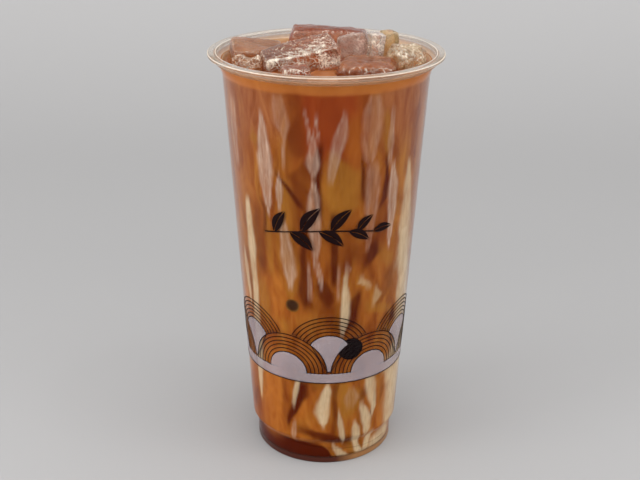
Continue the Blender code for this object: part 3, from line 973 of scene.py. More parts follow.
def ice_material(name, look, side, top, cloudiness, frost_amount, frost_scale):
    """Clear ice stained and clouded by tea, more so on top, with a lace of milky frost where its
    points call for it. The cloudy part is lighter and paler on top, partly a painted sheen of the
    light from above, and the ridges carry painted highlights."""
    material, tree, shader = new_material(name)
    upward, called, ridge = (
        attribute(tree, label)["Fac"] for label in ("upward", "frost", "ridge"))
    stained = tuple(
        (1 - look.staining) * clear + 0.8 * look.staining * cloud / max(side)
        for clear, cloud in zip(look.tint, side))
    grain = add_grain(tree, 300.0, 3.0, 0.9)
    set_shader(
        shader, Base_Color=stained, Transmission_Weight=1.0, IOR=1.31,
        Roughness=times(tree, grain["Value"], 0.04))
    add_bump(tree, shader, grain["Height"], 0.0003)

    # Cloudy ice, stained by the tea; its lighter, paler top colour is partly a painted sheen of the
    # light from above.
    body = node(tree, "ShaderNodeBsdfPrincipled")
    drift = add_grain(tree, 190.0, 3.0, 0.45)
    specks = add_grain(tree, 1500.0, 3.0, 0.25)["Value"]
    stain = mix_colours(tree, upward, opaque(side), opaque(top))
    set_shader(
        body, Base_Color=brighten(tree, brighten(tree, stain, drift["Value"]), specks),
        Roughness=times(tree, grain["Value"], 0.14), Coat_Weight=0.35, Coat_Roughness=0.03,
        Specular_IOR_Level=0.2)
    add_bump(tree, body, drift["Height"], 0.0004)

    # A crust of frost: a coarse lace and a fine one where much is called for; along the ridges the
    # frost colour is also a painted highlight.
    crust = node(tree, "ShaderNodeBsdfPrincipled")
    puffs = add_grain(tree, 700.0, 5.0, 0.35)["Value"]
    set_shader(
        crust, Base_Color=brighten(tree, flat_colour(tree, look.frost), puffs), Roughness=0.5,
        Specular_IOR_Level=0.4)
    coords = object_point(tree)
    warp = node(tree, "ShaderNodeTexNoise", {"Vector": coords, "Scale": 300.0, "Detail": 3.0})
    pushed = node(tree, "ShaderNodeVectorMath", {
        0: warp.outputs["Color"], 1: (0.005, 0.005, 0.005), 2: coords,
    }, operation="MULTIPLY_ADD").outputs[0]

    def lace(scale, wide, narrow):
        cells = node(tree, "ShaderNodeTexVoronoi", {
            "Vector": pushed, "Scale": scale}, feature="DISTANCE_TO_EDGE")
        return ramp(tree, cells.outputs["Distance"], wide, narrow)

    patches = node(tree, "ShaderNodeTexNoise", {
        "Vector": coords, "Scale": 210.0, "Detail": 6.0, "Roughness": 0.7,
    }).outputs["Fac"]
    fine_lace = lace(frost_scale * 2.3, 0.16, 0.03)
    webbed = times(
        tree, lace(frost_scale, 0.13, 0.02),
        maths(tree, "MULTIPLY_ADD", ramp(tree, patches, 0.46, 0.60), 0.75, 0.25), called)
    crusted = times(
        tree, ramp(tree, times(tree, called, patches), 0.46, 0.86),
        maths(tree, "MULTIPLY_ADD", fine_lace, 0.75, 0.35))
    glint = times(tree, ridge, 0.16, maths(tree, "MULTIPLY_ADD", fine_lace, 0.8, 0.2))
    mask = node(
        tree, "ShaderNodeMath", {0: most(tree, webbed, crusted, glint), 1: frost_amount},
        operation="MULTIPLY", use_clamp=True).outputs[0]

    share = maths(
        tree, "ADD", maths(tree, "SUBTRACT", patches, 0.5),
        maths(tree, "MULTIPLY_ADD", upward, 0.15, cloudiness))
    clouded = mix_surfaces(
        tree, share, lamps_pass(tree, shader, opaque(stained)), body.outputs[0])
    show(tree, mix_surfaces(tree, mask, clouded, crust.outputs[0]))
    return material


def pearl_material():
    material, tree, shader = new_material("Cooked tapioca")
    grain = add_grain(tree, 500.0, 3.0, 0.25)
    set_shader(
        shader, Base_Color=brighten(tree, attribute(tree, "paint")["Color"], grain["Value"]),
        Roughness=times(tree, grain["Value"], 0.4), Specular_IOR_Level=0.05)
    add_bump(tree, shader, grain["Height"], 0.00004)
    return material


def ink_material(name, colour, spread, roughness, thinness=0.0):
    """Dull ink with uneven cover, which shows what is behind it by its thinness."""
    material, tree, shader = new_material(name)
    if thinness:
        through = node(tree, "ShaderNodeBsdfTransparent")
        show(tree, mix_surfaces(tree, thinness, shader.outputs[0], through.outputs[0]))
    clouds = add_grain(tree, 70.0, 3.0, spread)["Value"]
    specks = add_grain(tree, 1600.0, 2.0, 0.08)
    shade = times(tree, clouds, specks["Value"])
    set_shader(
        shader, Base_Color=brighten(tree, flat_colour(tree, colour), shade),
        Roughness=times(tree, specks["Value"], roughness), Specular_IOR_Level=0.08)
    add_bump(tree, shader, specks["Height"], 0.00002)
    return material


# Painting the tea


def wrapped_noise(azimuth, height, cells_round, cell_height, seed, rows=101):
    """Smooth noise from 0 to 1 over azimuth in degrees and height, that joins up round the cup."""
    table = np.random.default_rng(seed).random((cells_round, rows))
    x = azimuth / 360.0 * cells_round
    y = height / cell_height
    left, low = np.floor(x).astype(int), np.floor(y).astype(int)
    fx, fy = x - left, y - low
    fx, fy = fx * fx * (3 - 2 * fx), fy * fy * (3 - 2 * fy)
    i0, i1 = left % cells_round, (left + 1) % cells_round
    j0, j1 = low % rows, (low + 1) % rows
    bottom = mixed(table[i0, j0], table[i1, j0], fx)
    top = mixed(table[i0, j1], table[i1, j1], fx)
    return mixed(bottom, top, fy)


def layered_noise(azimuth, height, cells_round, cell_height, seed, layers=3):
    total, weight = 0.0, 0.0
    for layer in range(layers):
        share = 0.55 ** layer
        total = total + share * wrapped_noise(
            azimuth, height, cells_round * 2 ** layer, cell_height / 2 ** layer, seed + 7 * layer
        )
        weight += share
    return total / weight


def smooth(low, high, value):
    share = np.clip((value - low) / (high - low), 0.0, 1.0)
    return share * share * (3 - 2 * share)


def mixed(first, second, share):
    return first * (1 - share) + second * share


def points_of(mesh):
    """A mesh's points in millimetres, one to a row."""
    flat = np.empty(len(mesh.vertices) * 3)
    mesh.vertices.foreach_get("co", flat)
    return flat.reshape(-1, 3) / MM


def store(mesh, name, values):
    """Store a number or a colour for each point."""
    values = np.asarray(values)
    if values.ndim == 1:
        mesh.attributes.new(name, "FLOAT", "POINT").data.foreach_set("value", values)
    else:
        layer = mesh.color_attributes.new(name, "FLOAT_COLOR", "POINT")
        layer.data.foreach_set("color", values.ravel())


def free_streaks(count, lengths, widths, heights, rng):
    """Leaning streaks at random places on the cup's sides and back."""
    made = []
    for _ in range(count):
        azimuth = rng.uniform(FREE_FROM, FREE_TO)
        length = rng.uniform(*lengths)
        foot = rng.uniform(*heights) - length / 2
        lean, width = rng.uniform(-3, 3), rng.uniform(*widths)
        made.append((
            rng.uniform(0.6, 1.0),
            (azimuth - lean, foot + length, width * 0.2),
            (azimuth - lean * 0.4, foot + length * 0.62, width),
            (azimuth + lean * 0.4, foot + length * 0.3, width * rng.uniform(0.6, 1.1)),
            (azimuth + lean, foot, width * 0.15),
        ))
    return made


def streak_cover(streak, azimuth, height, crisp, rimmed, uneven=1.0):
    """How much of a streak covers each point: full at its middle, half at its edge.

    A rimmed streak is lighter along its edges than at its middle. Uneven, about 1 and given for
    each point, widens and narrows it.
    """
    strength, *points = streak
    middles, heights, widths = zip(*sorted(points, key=lambda point: point[1]))
    step = np.interp(height, heights, range(len(heights)))
    whole = np.floor(step)
    rounded_step = whole + 0.4 * (step - whole) + 0.6 * smooth(0.0, 1.0, step - whole)
    middle = np.interp(step, range(len(heights)), middles)
    width = np.interp(rounded_step, range(len(heights)), widths)
    away = (azimuth - middle + 180.0) % 360.0 - 180.0
    across = np.abs(away) / (width * uneven + 0.25)
    tip = 5.2 - 3.6 * crisp
    ends = smooth(heights[0] - tip, heights[0] + 0.7 * tip, height)
    ends = ends * (1 - smooth(heights[-1] - 0.7 * tip, heights[-1] + tip, height))
    soft = 0.9 - 0.75 * crisp
    cover = strength * ends * (1 - smooth(1 - soft, 1 + soft, across))
    return cover * (1 - rimmed * (1 - smooth(0.3, 0.85, across)))


def syrup_edge(azimuth):
    """Height up to which the wall shows syrup, by azimuth."""
    return np.interp(
        azimuth % 360.0,
        (0, 4, 7, 11, 70, 90, 110, 150, 200, 260, 345, 356, 360),
        (8.2, 6.2, 2.5, 0.5, 0.5, 4.0, 8.0, 10.5, 9.5, 10.3, 10.3, 9.2, 8.2),
    )


def paint_wall(azimuth, height, colours):
    """The tea's ground colour and streaks at the wall, for arrays of azimuth and height."""
    tone = {name: np.array(getattr(colours, name)) for name in (
        "tea", "red", "rose", "amber", "gold", "brown", "dark", "syrup", "band")}

    def lay(below, mask, name, strength=1.0):
        share = (np.clip(mask, 0.0, 1.0) * strength)[:, None]
        return mixed(below, tone[name], share)

    az = azimuth + 3.0 * (layered_noise(azimuth, height, 26, 26, 11, 2) - 0.5)
    az = az + 1.6 * (layered_noise(azimuth, height, 60, 9, 12, 2) - 0.5)
    z = height + 3.0 * (layered_noise(azimuth, height, 18, 20, 13, 2) - 0.5)
    threads = layered_noise(az, z, 84, 44, 21)
    clouds = layered_noise(az, z, 22, 24, 22)
    body = 0.5 * threads + 0.5 * clouds
    folded = (az + 180.0) % 360.0 - 180.0

    ground = np.repeat(tone["tea"][None, :], len(az), axis=0)
    ground = lay(ground, smooth(0.52, 0.30, body), "brown", 0.6)
    ground = lay(ground, smooth(0.48, 0.68, body), "gold", 0.45)
    ground = lay(ground, smooth(75, 25, z) * smooth(0.25, 0.6, clouds), "amber", 0.5)
    sides = smooth(16, 34, np.abs(folded - 1))
    sides = sides * (0.5 + 0.5 * smooth(62, 46, np.abs(folded - 1)))
    ground = lay(ground, sides * smooth(140, 158, z + 14 * (clouds - 0.5)), "rose", 0.85)
    red = smooth(26, 10, np.abs(folded - 1)) + smooth(30, 12, np.abs(np.abs(folded) - 150))
    ground = lay(ground, red * smooth(132, 150, z + 10 * (clouds - 0.5)), "red", 0.9)
    level = syrup_edge(azimuth) + 1.2 * (clouds - 0.5)
    ground = lay(ground, smooth(level + 0.7, level - 0.5, height), "syrup", 1.0)
    # Painted light: tea right under the rim painted brighter, as lit from above.
    ground = lay(ground, smooth(166.4, 167.6, height + 1.2 * (clouds - 0.5)), "band", 0.92)

    rng = random.Random(5)
    uneven = 0.55 + 0.9 * layered_noise(azimuth, height, 44, 11, 31)
    cover = {}
    for kind, edges in STREAK_EDGES.items():
        at = (azimuth + 0.6 * (az - azimuth), height) if kind in ("veil_and_reflection", "cream_and_reflection") else (az, z)
        cover[kind] = np.zeros(len(az))
        for streak in (*STREAKS[kind], *free_streaks(*FREE_STREAKS[kind], rng)):
            cover[kind] = np.maximum(cover[kind], streak_cover(streak, *at, *edges, uneven))
            if kind == "cream_and_reflection":
                # Each runs in a wider golden one.
                wider = (0.55 * streak[0], *((a, h, 1.5 * w + 1.2) for a, h, w in streak[1:]))
                cover["gold"] = np.maximum(cover["gold"], streak_cover(wider, az, z, 0.1, 0.0))
    ground = lay(ground, cover["amber"], "amber", 0.85)
    ground = lay(ground, cover["brown"], "brown", 0.85)
    above_syrup = smooth(level - 1.0, level + 1.0, height)
    fresh = 1 - smooth(165.0, 167.4, height)
    calm = 0.5 * np.clip(red, 0, 1) * smooth(138, 150, z)
    calm = np.maximum(calm, 0.75 * smooth(165.5, 168.0, height))
    calm = np.maximum(calm, 0.6 * (1 - above_syrup))
    streaks = [
        cover["dark"] * above_syrup * fresh, 0.85 * cover["gold"] * above_syrup * fresh,
        cover["veil_and_reflection"] * fresh, cover["cream_and_reflection"]]
    return np.column_stack([ground, calm]), np.column_stack(streaks)


def paint_object(obj, colours, surface=True):
    """Store the tea's colours and its wetness on an object's points."""
    x, y, z = points_of(obj.data).T
    azimuth = np.degrees(np.arctan2(x, -y)) % 360.0
    radius = np.hypot(x, y)
    ground, streaks = paint_wall(azimuth, z, colours)
    within = smooth(-0.02, 0.5, inner_radius(z) - radius) if surface else 0.0 * z
    wet = within[:, None]
    # The tea's surface from above, painted darker and redder further down beside the ice as shade,
    # and its film on the wall.
    depth = smooth(0.0, 24.0, TEA_LEVEL - z)[:, None]
    deep_shade = mixed(np.array(colours.red), np.array(colours.dark), 0.2)
    swirl = layered_noise(azimuth, radius * 3, 40, 20, 41)[:, None]
    seen = mixed(np.array(colours.surface) * (0.85 + 0.4 * swirl), deep_shade, depth)
    seen = mixed(seen, np.array(colours.film), smooth(0.3, 1.6, z - TEA_LEVEL)[:, None])
    seen = np.column_stack([seen, np.full(len(z), 0.6)])
    store(obj.data, "ground", mixed(ground, seen, wet))
    store(obj.data, "streaks", streaks * (1 - wet))
    store(obj.data, "wet", within)


# Pieces


def syrup_plane(azimuth, radius):
    """Height of the tilted surface between syrup and tea."""
    lean = SYRUP_FALL / FOOT_RADIUS
    return SYRUP_MIDDLE - lean * radius * np.cos(np.radians(azimuth - SYRUP_LOW_AZIMUTH))


def filled_solid(name, columns, rows, foot, top, top_rings):
    """A closed solid inside the cup between two heights, each given by azimuth and radius.

    The side reaches just into the wall, and the top is a disc of rings.
    """
    azimuth = np.linspace(0.0, 360.0, columns, endpoint=False)
    points, faces = [], []
    rim_low = foot(azimuth, inner_radius(foot(azimuth, FOOT_RADIUS)))
    rim_high = top(azimuth, inner_radius(top(azimuth, WALL_TOP_RADIUS)))
    for row in range(rows + 1):
        height = rim_low + (rim_high - rim_low) * row / rows
        points.extend(round_axis(azimuth, inner_radius(height) + REACH, height) * MM)
    edge = inner_radius(rim_high) + REACH
    for share in top_rings:
        points.extend(round_axis(azimuth, edge * share, top(azimuth, edge * share)) * MM)
    total_rings = rows + 1 + len(top_rings)
    for row in range(total_rings - 1):
        for column in range(columns):
            following = (column + 1) % columns
            a, b = row * columns + column, row * columns + following
            faces.append((a, b, b + columns, a + columns))
    last = (total_rings - 1) * columns
    centre_top = len(points)
    points.append((0.0, 0.0, float(top(0.0, 0.0)) * MM))
    centre_low = len(points)
    points.append((0.0, 0.0, float(foot(0.0, 0.0)) * MM))
    for column in range(columns):
        following = (column + 1) % columns
        faces.append((last + column, last + following, centre_top))
        faces.append((following, column, centre_low))
    obj = new_object(name, mesh_from(name, points, faces))
    outward(obj.data)
    return obj


def tea_top(azimuth, radius):
    """The tea's surface, with a meniscus and a thin uneven film left on the wall above it."""
    gap = inner_radius(TEA_LEVEL) - radius
    climb = smooth(3.2, 0.0, gap)
    film = FILM_RISE * (0.65 + 0.4 * layered_noise(azimuth, 0.0 * azimuth, 30, 20, 51))
    return TEA_LEVEL + MENISCUS_RISE * climb + film * np.exp(-np.clip(gap, 0.0, None) / 0.3)


# Rings of the tea's surface, as shares of its radius, close together where it climbs the wall.
TEA_TOP_RINGS = (0.9945, 0.99, 0.985, 0.975, 0.96, 0.94, 0.6, 0.3)


def tea_foot(azimuth, radius):
    return syrup_plane(azimuth, radius) - REACH


def cup_floor(azimuth, radius):
    return FLOOR_TOP - REACH + 0.0 * azimuth * radius


def pearl_shape(name, azimuth, height, radius, depth, limit):
    """An uneven ball pressed flat against the inside of the cup, up to a limit past its wall."""
    centre = Vector(round_axis(azimuth, wall_radius(height) - WALL - depth, height))
    bm = bmesh.new()
    bmesh.ops.create_icosphere(bm, subdivisions=5, radius=1.0)
    for vert in bm.verts:
        bump = 1 + 0.035 * noise.noise(vert.co * 1.7 + centre) + 0.012 * noise.noise(vert.co * 5)
        place = centre + vert.co * radius * bump
        out = math.hypot(place.x, place.y)
        edge = float(inner_radius(place.z)) + limit
        if out > edge:
            place.x, place.y = place.x * edge / out, place.y * edge / out
        vert.co = place * MM
    return object_from(bm, name), centre


def paint_pearl(obj, azimuth, centre, middle, rim):
    """Colour a pearl by the distance from its middle, as seen from outside the cup."""
    away = points_of(obj.data) - np.array(centre)
    outwards = round_axis(azimuth, 1.0, 0.0)
    across = away - (away @ outwards)[:, None] * outwards
    share = smooth(*PEARL_FADE, np.linalg.norm(across, axis=1))[:, None]
    colour = mixed(np.array(middle), np.array(rim), share)
    store(obj.data, "paint", np.column_stack([colour, np.ones(len(colour))]))


def soft_ice(name, source, grain, pitting, smoothing, seed):
    """A melted, dented copy of a CAD block of ice."""
    bm = bmesh.new()
    bm.from_mesh(source.data)
    bmesh.ops.remove_doubles(bm, verts=bm.verts, dist=SAME_POINT)
    obj = object_from(bm, name)
    remesh = obj.modifiers.new("Even", "REMESH")
    remesh.mode = "VOXEL"
    remesh.voxel_size = grain
    relax = obj.modifiers.new("Melt", "SMOOTH")
    relax.factor = 0.7
    relax.iterations = smoothing
    as_plain_mesh(obj)
    mesh = obj.data
    offset = Vector((seed * 3.1, seed * 1.7, seed * 0.9))
    normals = [v.normal.copy() for v in mesh.vertices]
    for vert, normal in zip(mesh.vertices, normals):
        place = vert.co / MM
        big = noise.noise(place * 0.16 + offset)
        small = noise.noise(place * 0.62 + offset)
        sharp = abs(noise.noise(place * 0.35 - offset))
        vert.co += normal * pitting * (0.9 * big + 0.45 * small - 0.8 * sharp + 0.1)
    mesh.update()
    return obj


def shrunk_copy(obj, amount):
    mesh = obj.data.copy()
    normals = [v.normal.copy() for v in mesh.vertices]
    for vert, normal in zip(mesh.vertices, normals):
        vert.co -= normal * amount
    return new_object(obj.name + "_pocket", mesh)


def frost_on(obj, strength, low, high):
    """Store how frosted each point is, how much of a ridge, where highlights are painted, and how
    far it faces up.
    """
    bm = bmesh.new()
    bm.from_mesh(obj.data)
    values, ridges, upward = [], [], []
    for vert in bm.verts:
        place = vert.co / MM
        lift = float(smooth(low, high, place.z - TEA_LEVEL))
        front = float(smooth(0.15, 0.75, -vert.normal.y))
        bends = [edge.calc_face_angle_signed(0.0) for edge in vert.link_edges]
        ridge = lift * float(smooth(0.06, 0.22, sum(bends) / len(bends)))
        patch = 0.62 + 0.95 * noise.noise(place * 0.2)
        bevel = float(smooth(0.5, 1.4, 4.0 * max(-vert.normal.y, 0.0) * max(vert.normal.z, 0.0)))
        values.append(
            lift * strength * ((0.2 + 0.8 * front) * patch + 0.6 * bevel) + 0.3 * ridge)
        ridges.append(ridge)
        upward.append(float(smooth(0.45, 0.9, vert.normal.z)))
    bm.free()
    for name, numbers in (("frost", values), ("ridge", ridges), ("upward", upward)):
        store(obj.data, name, numbers)


# The nodes that loose grains lie on, and how many grains there are to a square metre of frost.
CRUMBLING = ("ice_crushed", "ice_chips", "ice_long", "ice_front")
CRUMB_DENSITY = 5.5e5
# Heights over the tea between which frost sets in.
FROST_FROM = (-1.0, 2.5)
# By node: clouding colour at the sides and on top, the top's lighter and paler one partly a painted
# sheen of the light from above, then cloudiness, smoothing steps, dents, frost and frost lace
# scale.
ICE_LOOKS = {
    "ice_back": ((112, 38, 8), (120, 54, 22), 0.28, 6, 0.5, 0.25, 520.0),
    "ice_long": ((144, 88, 60), (138, 92, 72), 0.22, 5, 0.6, 1.3, 560.0),
    "ice_left": ((170, 118, 76), (180, 134, 96), 0.22, 5, 0.3, 0.0, 420.0),
    "ice_middle": ((188, 156, 140), (186, 156, 142), 0.4, 6, 0.6, 0.2, 500.0),
    "ice_low": ((166, 90, 36), (174, 102, 48), 0.2, 90, 0.7, 0.5, 330.0),
    "ice_upright": ((214, 206, 200), (230, 224, 218), 0.25, 3, 0.9, 0.8, 420.0),
    "ice_pale": ((192, 170, 124), (204, 180, 140), 0.35, 4, 0.4, 0.0, 420.0),
    "ice_front": ((122, 52, 26), (144, 84, 56), 0.2, 4, 1.0, 0.9, 560.0),
    "ice_crushed": ((196, 174, 136), (210, 192, 158), 0.25, 1, 1.6, 0.65, 620.0),
    "ice_chips": ((194, 146, 104), (206, 170, 134), 0.2, 1, 1.6, 0.5, 620.0),
}


def thin_print(name, sheets, lift, thickness, closed_round):
    """Closed thin solids on the cup's wall from grids of (azimuth in degrees, height)."""
    points, faces = [], []
    for sheet in sheets:
        grid = np.asarray(sheet, dtype=float)
        rows, columns = grid.shape[:2]
        base = len(points)
        for level in (lift, lift + thickness):
            layer = round_axis(grid[..., 0], wall_radius(grid[..., 1]) + level, grid[..., 1])
            points.extend(layer.reshape(-1, 3) * MM)
        count = rows * columns

        def at(row, column, level):
            return base + level * count + row * columns + column % columns

        strips = columns if closed_round else columns - 1
        for row in range(rows - 1):
            for column in range(strips):
                quad = [(row, column), (row, column + 1), (row + 1, column + 1), (row + 1, column)]
                faces.append([at(r, c, 1) for r, c in quad])
                faces.append([at(r, c, 0) for r, c in reversed(quad)])
        for column in range(strips):
            for row, flip in ((0, False), (rows - 1, True)):
                side = [at(row, column, 0), at(row, column + 1, 0),
                        at(row, column + 1, 1), at(row, column, 1)]
                faces.append(side[::-1] if flip else side)
        if not closed_round:
            for row in range(rows - 1):
                for column, flip in ((0, True), (columns - 1, False)):
                    side = [at(row, column, 0), at(row + 1, column, 0),
                            at(row + 1, column, 1), at(row, column, 1)]
                    faces.append(side[::-1] if flip else side)
    obj = new_object(name, mesh_from(name, points, faces))
    outward(obj.data)
    return obj


def leaf_sheets(root, length, width, lean, vein=0.16, steps=18, across=5):
    """A leaf as two halves beside its vein, on the unrolled wall: (azimuth, height) grids."""
    sheets = []
    direction = Vector((math.cos(lean), math.sin(lean)))
    sideways = Vector((-direction.y, direction.x))
    for side in (-1, 1):
        rows = []
        for i in range(steps + 1):
            along = i / steps
            full = width * math.sin(math.pi * along ** 0.85) ** 0.9 if 0 < along < 1 else 0.0
            curl = 0.07 * length * math.sin(math.pi * along)
            row = []
            for j in range(across + 1):
                out = vein + max(full - vein, 0.02) * j / across
                place = root + direction * (length * along) + sideways * (side * out + curl)
                row.append(unrolled_to_wall(place))
            rows.append(row)
        sheets.append(rows)
    return sheets


def unrolled_to_wall(place):
    """Azimuth and height on the wall of a flat point given from the sprig's middle."""
    azimuth = math.degrees((place.x + SPRIG_SHIFT) / wall_radius(SPRIG_HEIGHT))
    return azimuth, SPRIG_HEIGHT + place.y


def stem_sheet(points, width):
    """A strip along a line of points, on the unrolled wall: an (azimuth, height) grid."""
    rows = []
    for a, b in zip(points, points[1:]):
        along = (b - a).normalized()
        side = Vector((-along.y, along.x)) * width / 2
        rows.append([unrolled_to_wall(a - side), unrolled_to_wall(a + side)])
    rows.append([unrolled_to_wall(b - side), unrolled_to_wall(b + side)])
    return rows


class MILKTEA_OT_cup(bpy.types.Operator):
    """Turn the clear plastic cup"""
    bl_idname = "milktea.cup"
    bl_label = "Cup"

    def execute(self, context):
        look = settings("cup_look")
        outline = [(p.x, p.y) for p in rounded(INNER_CORNERS + OUTER_CORNERS)]
        material = plastic_material(look)
        cup = turned("clear_cup", outline, look.steps, material)
        for azimuth in NOTCH_AZIMUTHS:
            place = Vector(round_axis(azimuth, FOOT_RADIUS - FOOT_RING_WIDTH / 2, 0.0)) * MM
            turn = Matrix.Rotation(math.radians(azimuth), 4, "Z")
            size = Matrix.Diagonal((*(Vector(NOTCH_SIZE) * MM), 1.0))
            notch = bmesh.new()
            bmesh.ops.create_cube(
                notch, size=1.0, matrix=Matrix.Translation(place) @ turn @ size)
            cut(cup, object_from(notch, "notch"))
        finish_piece(cup, material, "cup")
        return {"FINISHED"}


class MILKTEA_OT_pearls(bpy.types.Operator):
    """Press the soft pearls against the wall"""
    bl_idname = "milktea.pearls"
    bl_label = "Pearls"

    def execute(self, context):
        look, colours = settings("cup_look"), settings("tea_colours")
        material = pearl_material()
        paints = {
            "pearl_front": (look.pearl, look.pearl),
            "pearl_left": (look.pearl_veiled, colours.gold),
        }
        for name, azimuth, *spec in PEARLS:
            pearl, centre = pearl_shape("soft_" + name, azimuth, *spec, REACH)
            paint_pearl(pearl, azimuth, centre, *paints[name])
            finish_piece(pearl, material, name)
        return {"FINISHED"}


class MILKTEA_OT_ice(bpy.types.Operator):
    """Melt and frost the blocks and heaps of ice"""
    bl_idname = "milktea.ice"
    bl_label = "Ice"

    def execute(self, context):
        look = settings("ice_look")
        crumbling = bmesh.new()
        for seed, name in enumerate(ICE, 1):
            side, top, cloudiness, smoothing, dents, frost, lace = ICE_LOOKS[name]
            piece = soft_ice(
                "melting_" + name, bpy.data.objects[name], look.grain, look.pitting * dents,
                smoothing, seed)
            frost_on(piece, frost, *FROST_FROM)
            material = ice_material(
                "Ice, " + name.replace("ice_", ""), look, srgb(*side), srgb(*top), cloudiness,
                1.0, lace)
            finish_piece(piece, material, name)
            if name in CRUMBLING:
                crumbling.from_mesh(piece.data)
        grains = object_from(crumbling, "ice_grains")
        # The grains' lighter top colour is partly a painted sheen of the light from above, as on
        # the blocks.
        clear = ice_material(
            "Ice, grains", look, srgb(220, 202, 176), srgb(232, 218, 196), 0.3, 0.8, 700.0)
        run_tree(grains, crumb_tree(), {
            "Density": CRUMB_DENSITY, "Size": look.crumb, "Seed": 4, "Material": clear,
        })
        finish_piece(grains, clear, smooth_shaded=False)
        return {"FINISHED"}


class MILKTEA_OT_filling(bpy.types.Operator):
    """Pour the syrup and the marbled tea round the ice and the pearls"""
    bl_idname = "milktea.filling"
    bl_label = "Tea and syrup"

    def execute(self, context):
        colours = settings("tea_colours")
        tea = filled_solid(
            "marbled_tea", columns=364, rows=186, foot=tea_foot, top=tea_top,
            top_rings=TEA_TOP_RINGS)
        for name, azimuth, height, radius, depth in PEARLS:
            pocket, _ = pearl_shape(name + "_pocket", azimuth, height, radius - REACH, depth, 1.0)
            cut(tea, pocket)
        for name in ICE:
            cut(tea, shrunk_copy(bpy.data.objects["melting_" + name], REACH * MM))
        paint_object(tea, colours)
        finish_piece(tea, tea_material("Marbled milk tea", colours, 0.08), "drink")

        syrup = filled_solid(
            "dark_syrup", columns=380, rows=24, foot=cup_floor, top=syrup_plane,
            top_rings=(0.9, 0.5))
        paint_object(syrup, colours, surface=False)
        finish_piece(syrup, tea_material("Brown sugar syrup", colours, 0.3), "syrup")
        return {"FINISHED"}


class MILKTEA_OT_print(bpy.types.Operator):
    """Print the band of wave scales and the sprig of tea leaves on the cup"""
    bl_idname = "milktea.print"
    bl_label = "Print"

    def execute(self, context):
        look = settings("print_look")
        ink = ink_material("Dark print", tuple(look.ink), 0.1, 0.5)
        pale = ink_material("Pale print", tuple(look.field), 0.24, 0.4, 0.6)
        foot, line, thick, core = (
            size / MM for size in (look.foot, look.line, look.thickness, look.core))
        unrolled = float(wall_radius(foot + BAND_MIDDLE))
        pitch = TAU * unrolled / look.scales
        spacing = (pitch / 2 - core) / (look.rings - 0.5)
        base, rise = foot + BAND_BASE, core + 0.6 * spacing

        # The plain middles of the scales: a band with humps, and discs behind it.
        azimuth = np.linspace(0.0, 360.0, 721)[:-1]

        def arch(degrees, radius, shift):
            along = np.radians(degrees) * unrolled / pitch - PHASE - shift
            away = np.abs((along + 0.5) % 1.0 - 0.5) * pitch
            return np.sqrt(np.clip(radius ** 2 - away ** 2, 0.0, None))

        def filled(across, low, high, steps):
            return [
                np.stack(np.broadcast_arrays(across, low + (high - low) * share), axis=-1)
                for share in np.linspace(0.0, 1.0, steps)]

        band = filled(azimuth, foot, base + arch(azimuth, core, 0.0), 9)
        discs = []
        half = math.degrees(core / unrolled) * 0.999
        for number in range(look.scales):
            middle = math.degrees((number + PHASE + 0.5) * pitch / unrolled)
            across = middle + half * np.sin(np.linspace(-math.pi / 2, math.pi / 2, 41))
            high = base + rise + arch(across, core, 0.5)
            low = np.maximum(
                base + rise - arch(across, core, 0.5),
                base + arch(across, core + (look.rings - 1) * spacing + line / 2, 0.0))
            discs.append(filled(across, np.minimum(low, high - 0.02), high, 7))
        for name, sheets, closed_round in (
            ("printed_field", [band], True), ("printed_discs", discs, False),
        ):
            finish_piece(
                thin_print(name, sheets, INK_LIFT, thick / 2, closed_round), pale)

        lines = new_object("printed_scales", bpy.data.meshes.new("printed_scales"))
        run_tree(lines, ripple_tree(), {
            "Scales": look.scales, "Rings": look.rings, "Core": look.core,
            "Spacing": spacing * MM, "Pitch": pitch * MM, "Foot": base * MM,
            "Row rise": rise * MM, "Line": look.line, "Thickness": look.thickness,
            "Unrolled radius": unrolled * MM,
            "Radius at zero": (
                float(wall_radius(0.0)) + thick / 2 + INK_LIFT + LINE_LIFT) * MM,
            "Slope": float(wall_radius(1.0) - wall_radius(0.0)), "Material": ink,
        })
        finish_piece(lines, ink)

        ring = [filled(azimuth, foot - line / 2, foot + line / 2, 2)]
        stem = [Vector((-23 + 46 * t, -3.2 + 3.4 * math.sin(2.6 * t))) for t in
                np.linspace(0.0, 1.0, 40)]
        sprig = [stem_sheet(stem, STEM_WIDTH)]
        for share, length, width, lean in LEAVES:
            root = stem[round(share * (len(stem) - 1))]
            sprig += leaf_sheets(root, length, width, math.radians(lean))
        for name, sheets, lift, closed_round in (
            ("printed_ring", ring, INK_LIFT + LINE_LIFT, True),
            ("printed_sprig", sprig, INK_LIFT, False),
        ):
            finish_piece(
                thin_print(name, sheets, lift, thick, closed_round), ink)
        return {"FINISHED"}


# The floor in metres: half its width, its near and far ends, and its sweep up to the backdrop.
FLOOR_WIDTH, FLOOR_FRONT, FLOOR_BACK = 3.2, -2.2, 1.3
SWEEP, SWEEP_STEPS, BACKDROP_TOP = 0.9, 24, 2.6
# The floor's painted light and shade, darker from the cup back and lighter up the backdrop:
# distances back, in metres, between which each sets in, and how strong it is.
FLOOR_PAINTED_LIGHT = ((-0.05, 0.22, 0.9), (0.3, 0.95, 1.24))
SKY = (240, 238, 236)
# By lamp: place and size in metres, the setting that its power comes from, and its share of it.
LAMPS = {
    "overhead": ((0.0, -0.3, 1.2), (2.0, 1.8), "key", 1.0),
    "left": ((-0.85, -0.35, 0.45), (0.35, 0.9), "side", 1.15),
    "right": ((0.85, -0.35, 0.45), (0.35, 0.9), "side", 0.65),
    "glint": ((0.35, -0.15, 0.95), (0.05, 0.05), "glint", 1.0),
}
LAMPS_AIM = (0.0, 0.0, 0.09)
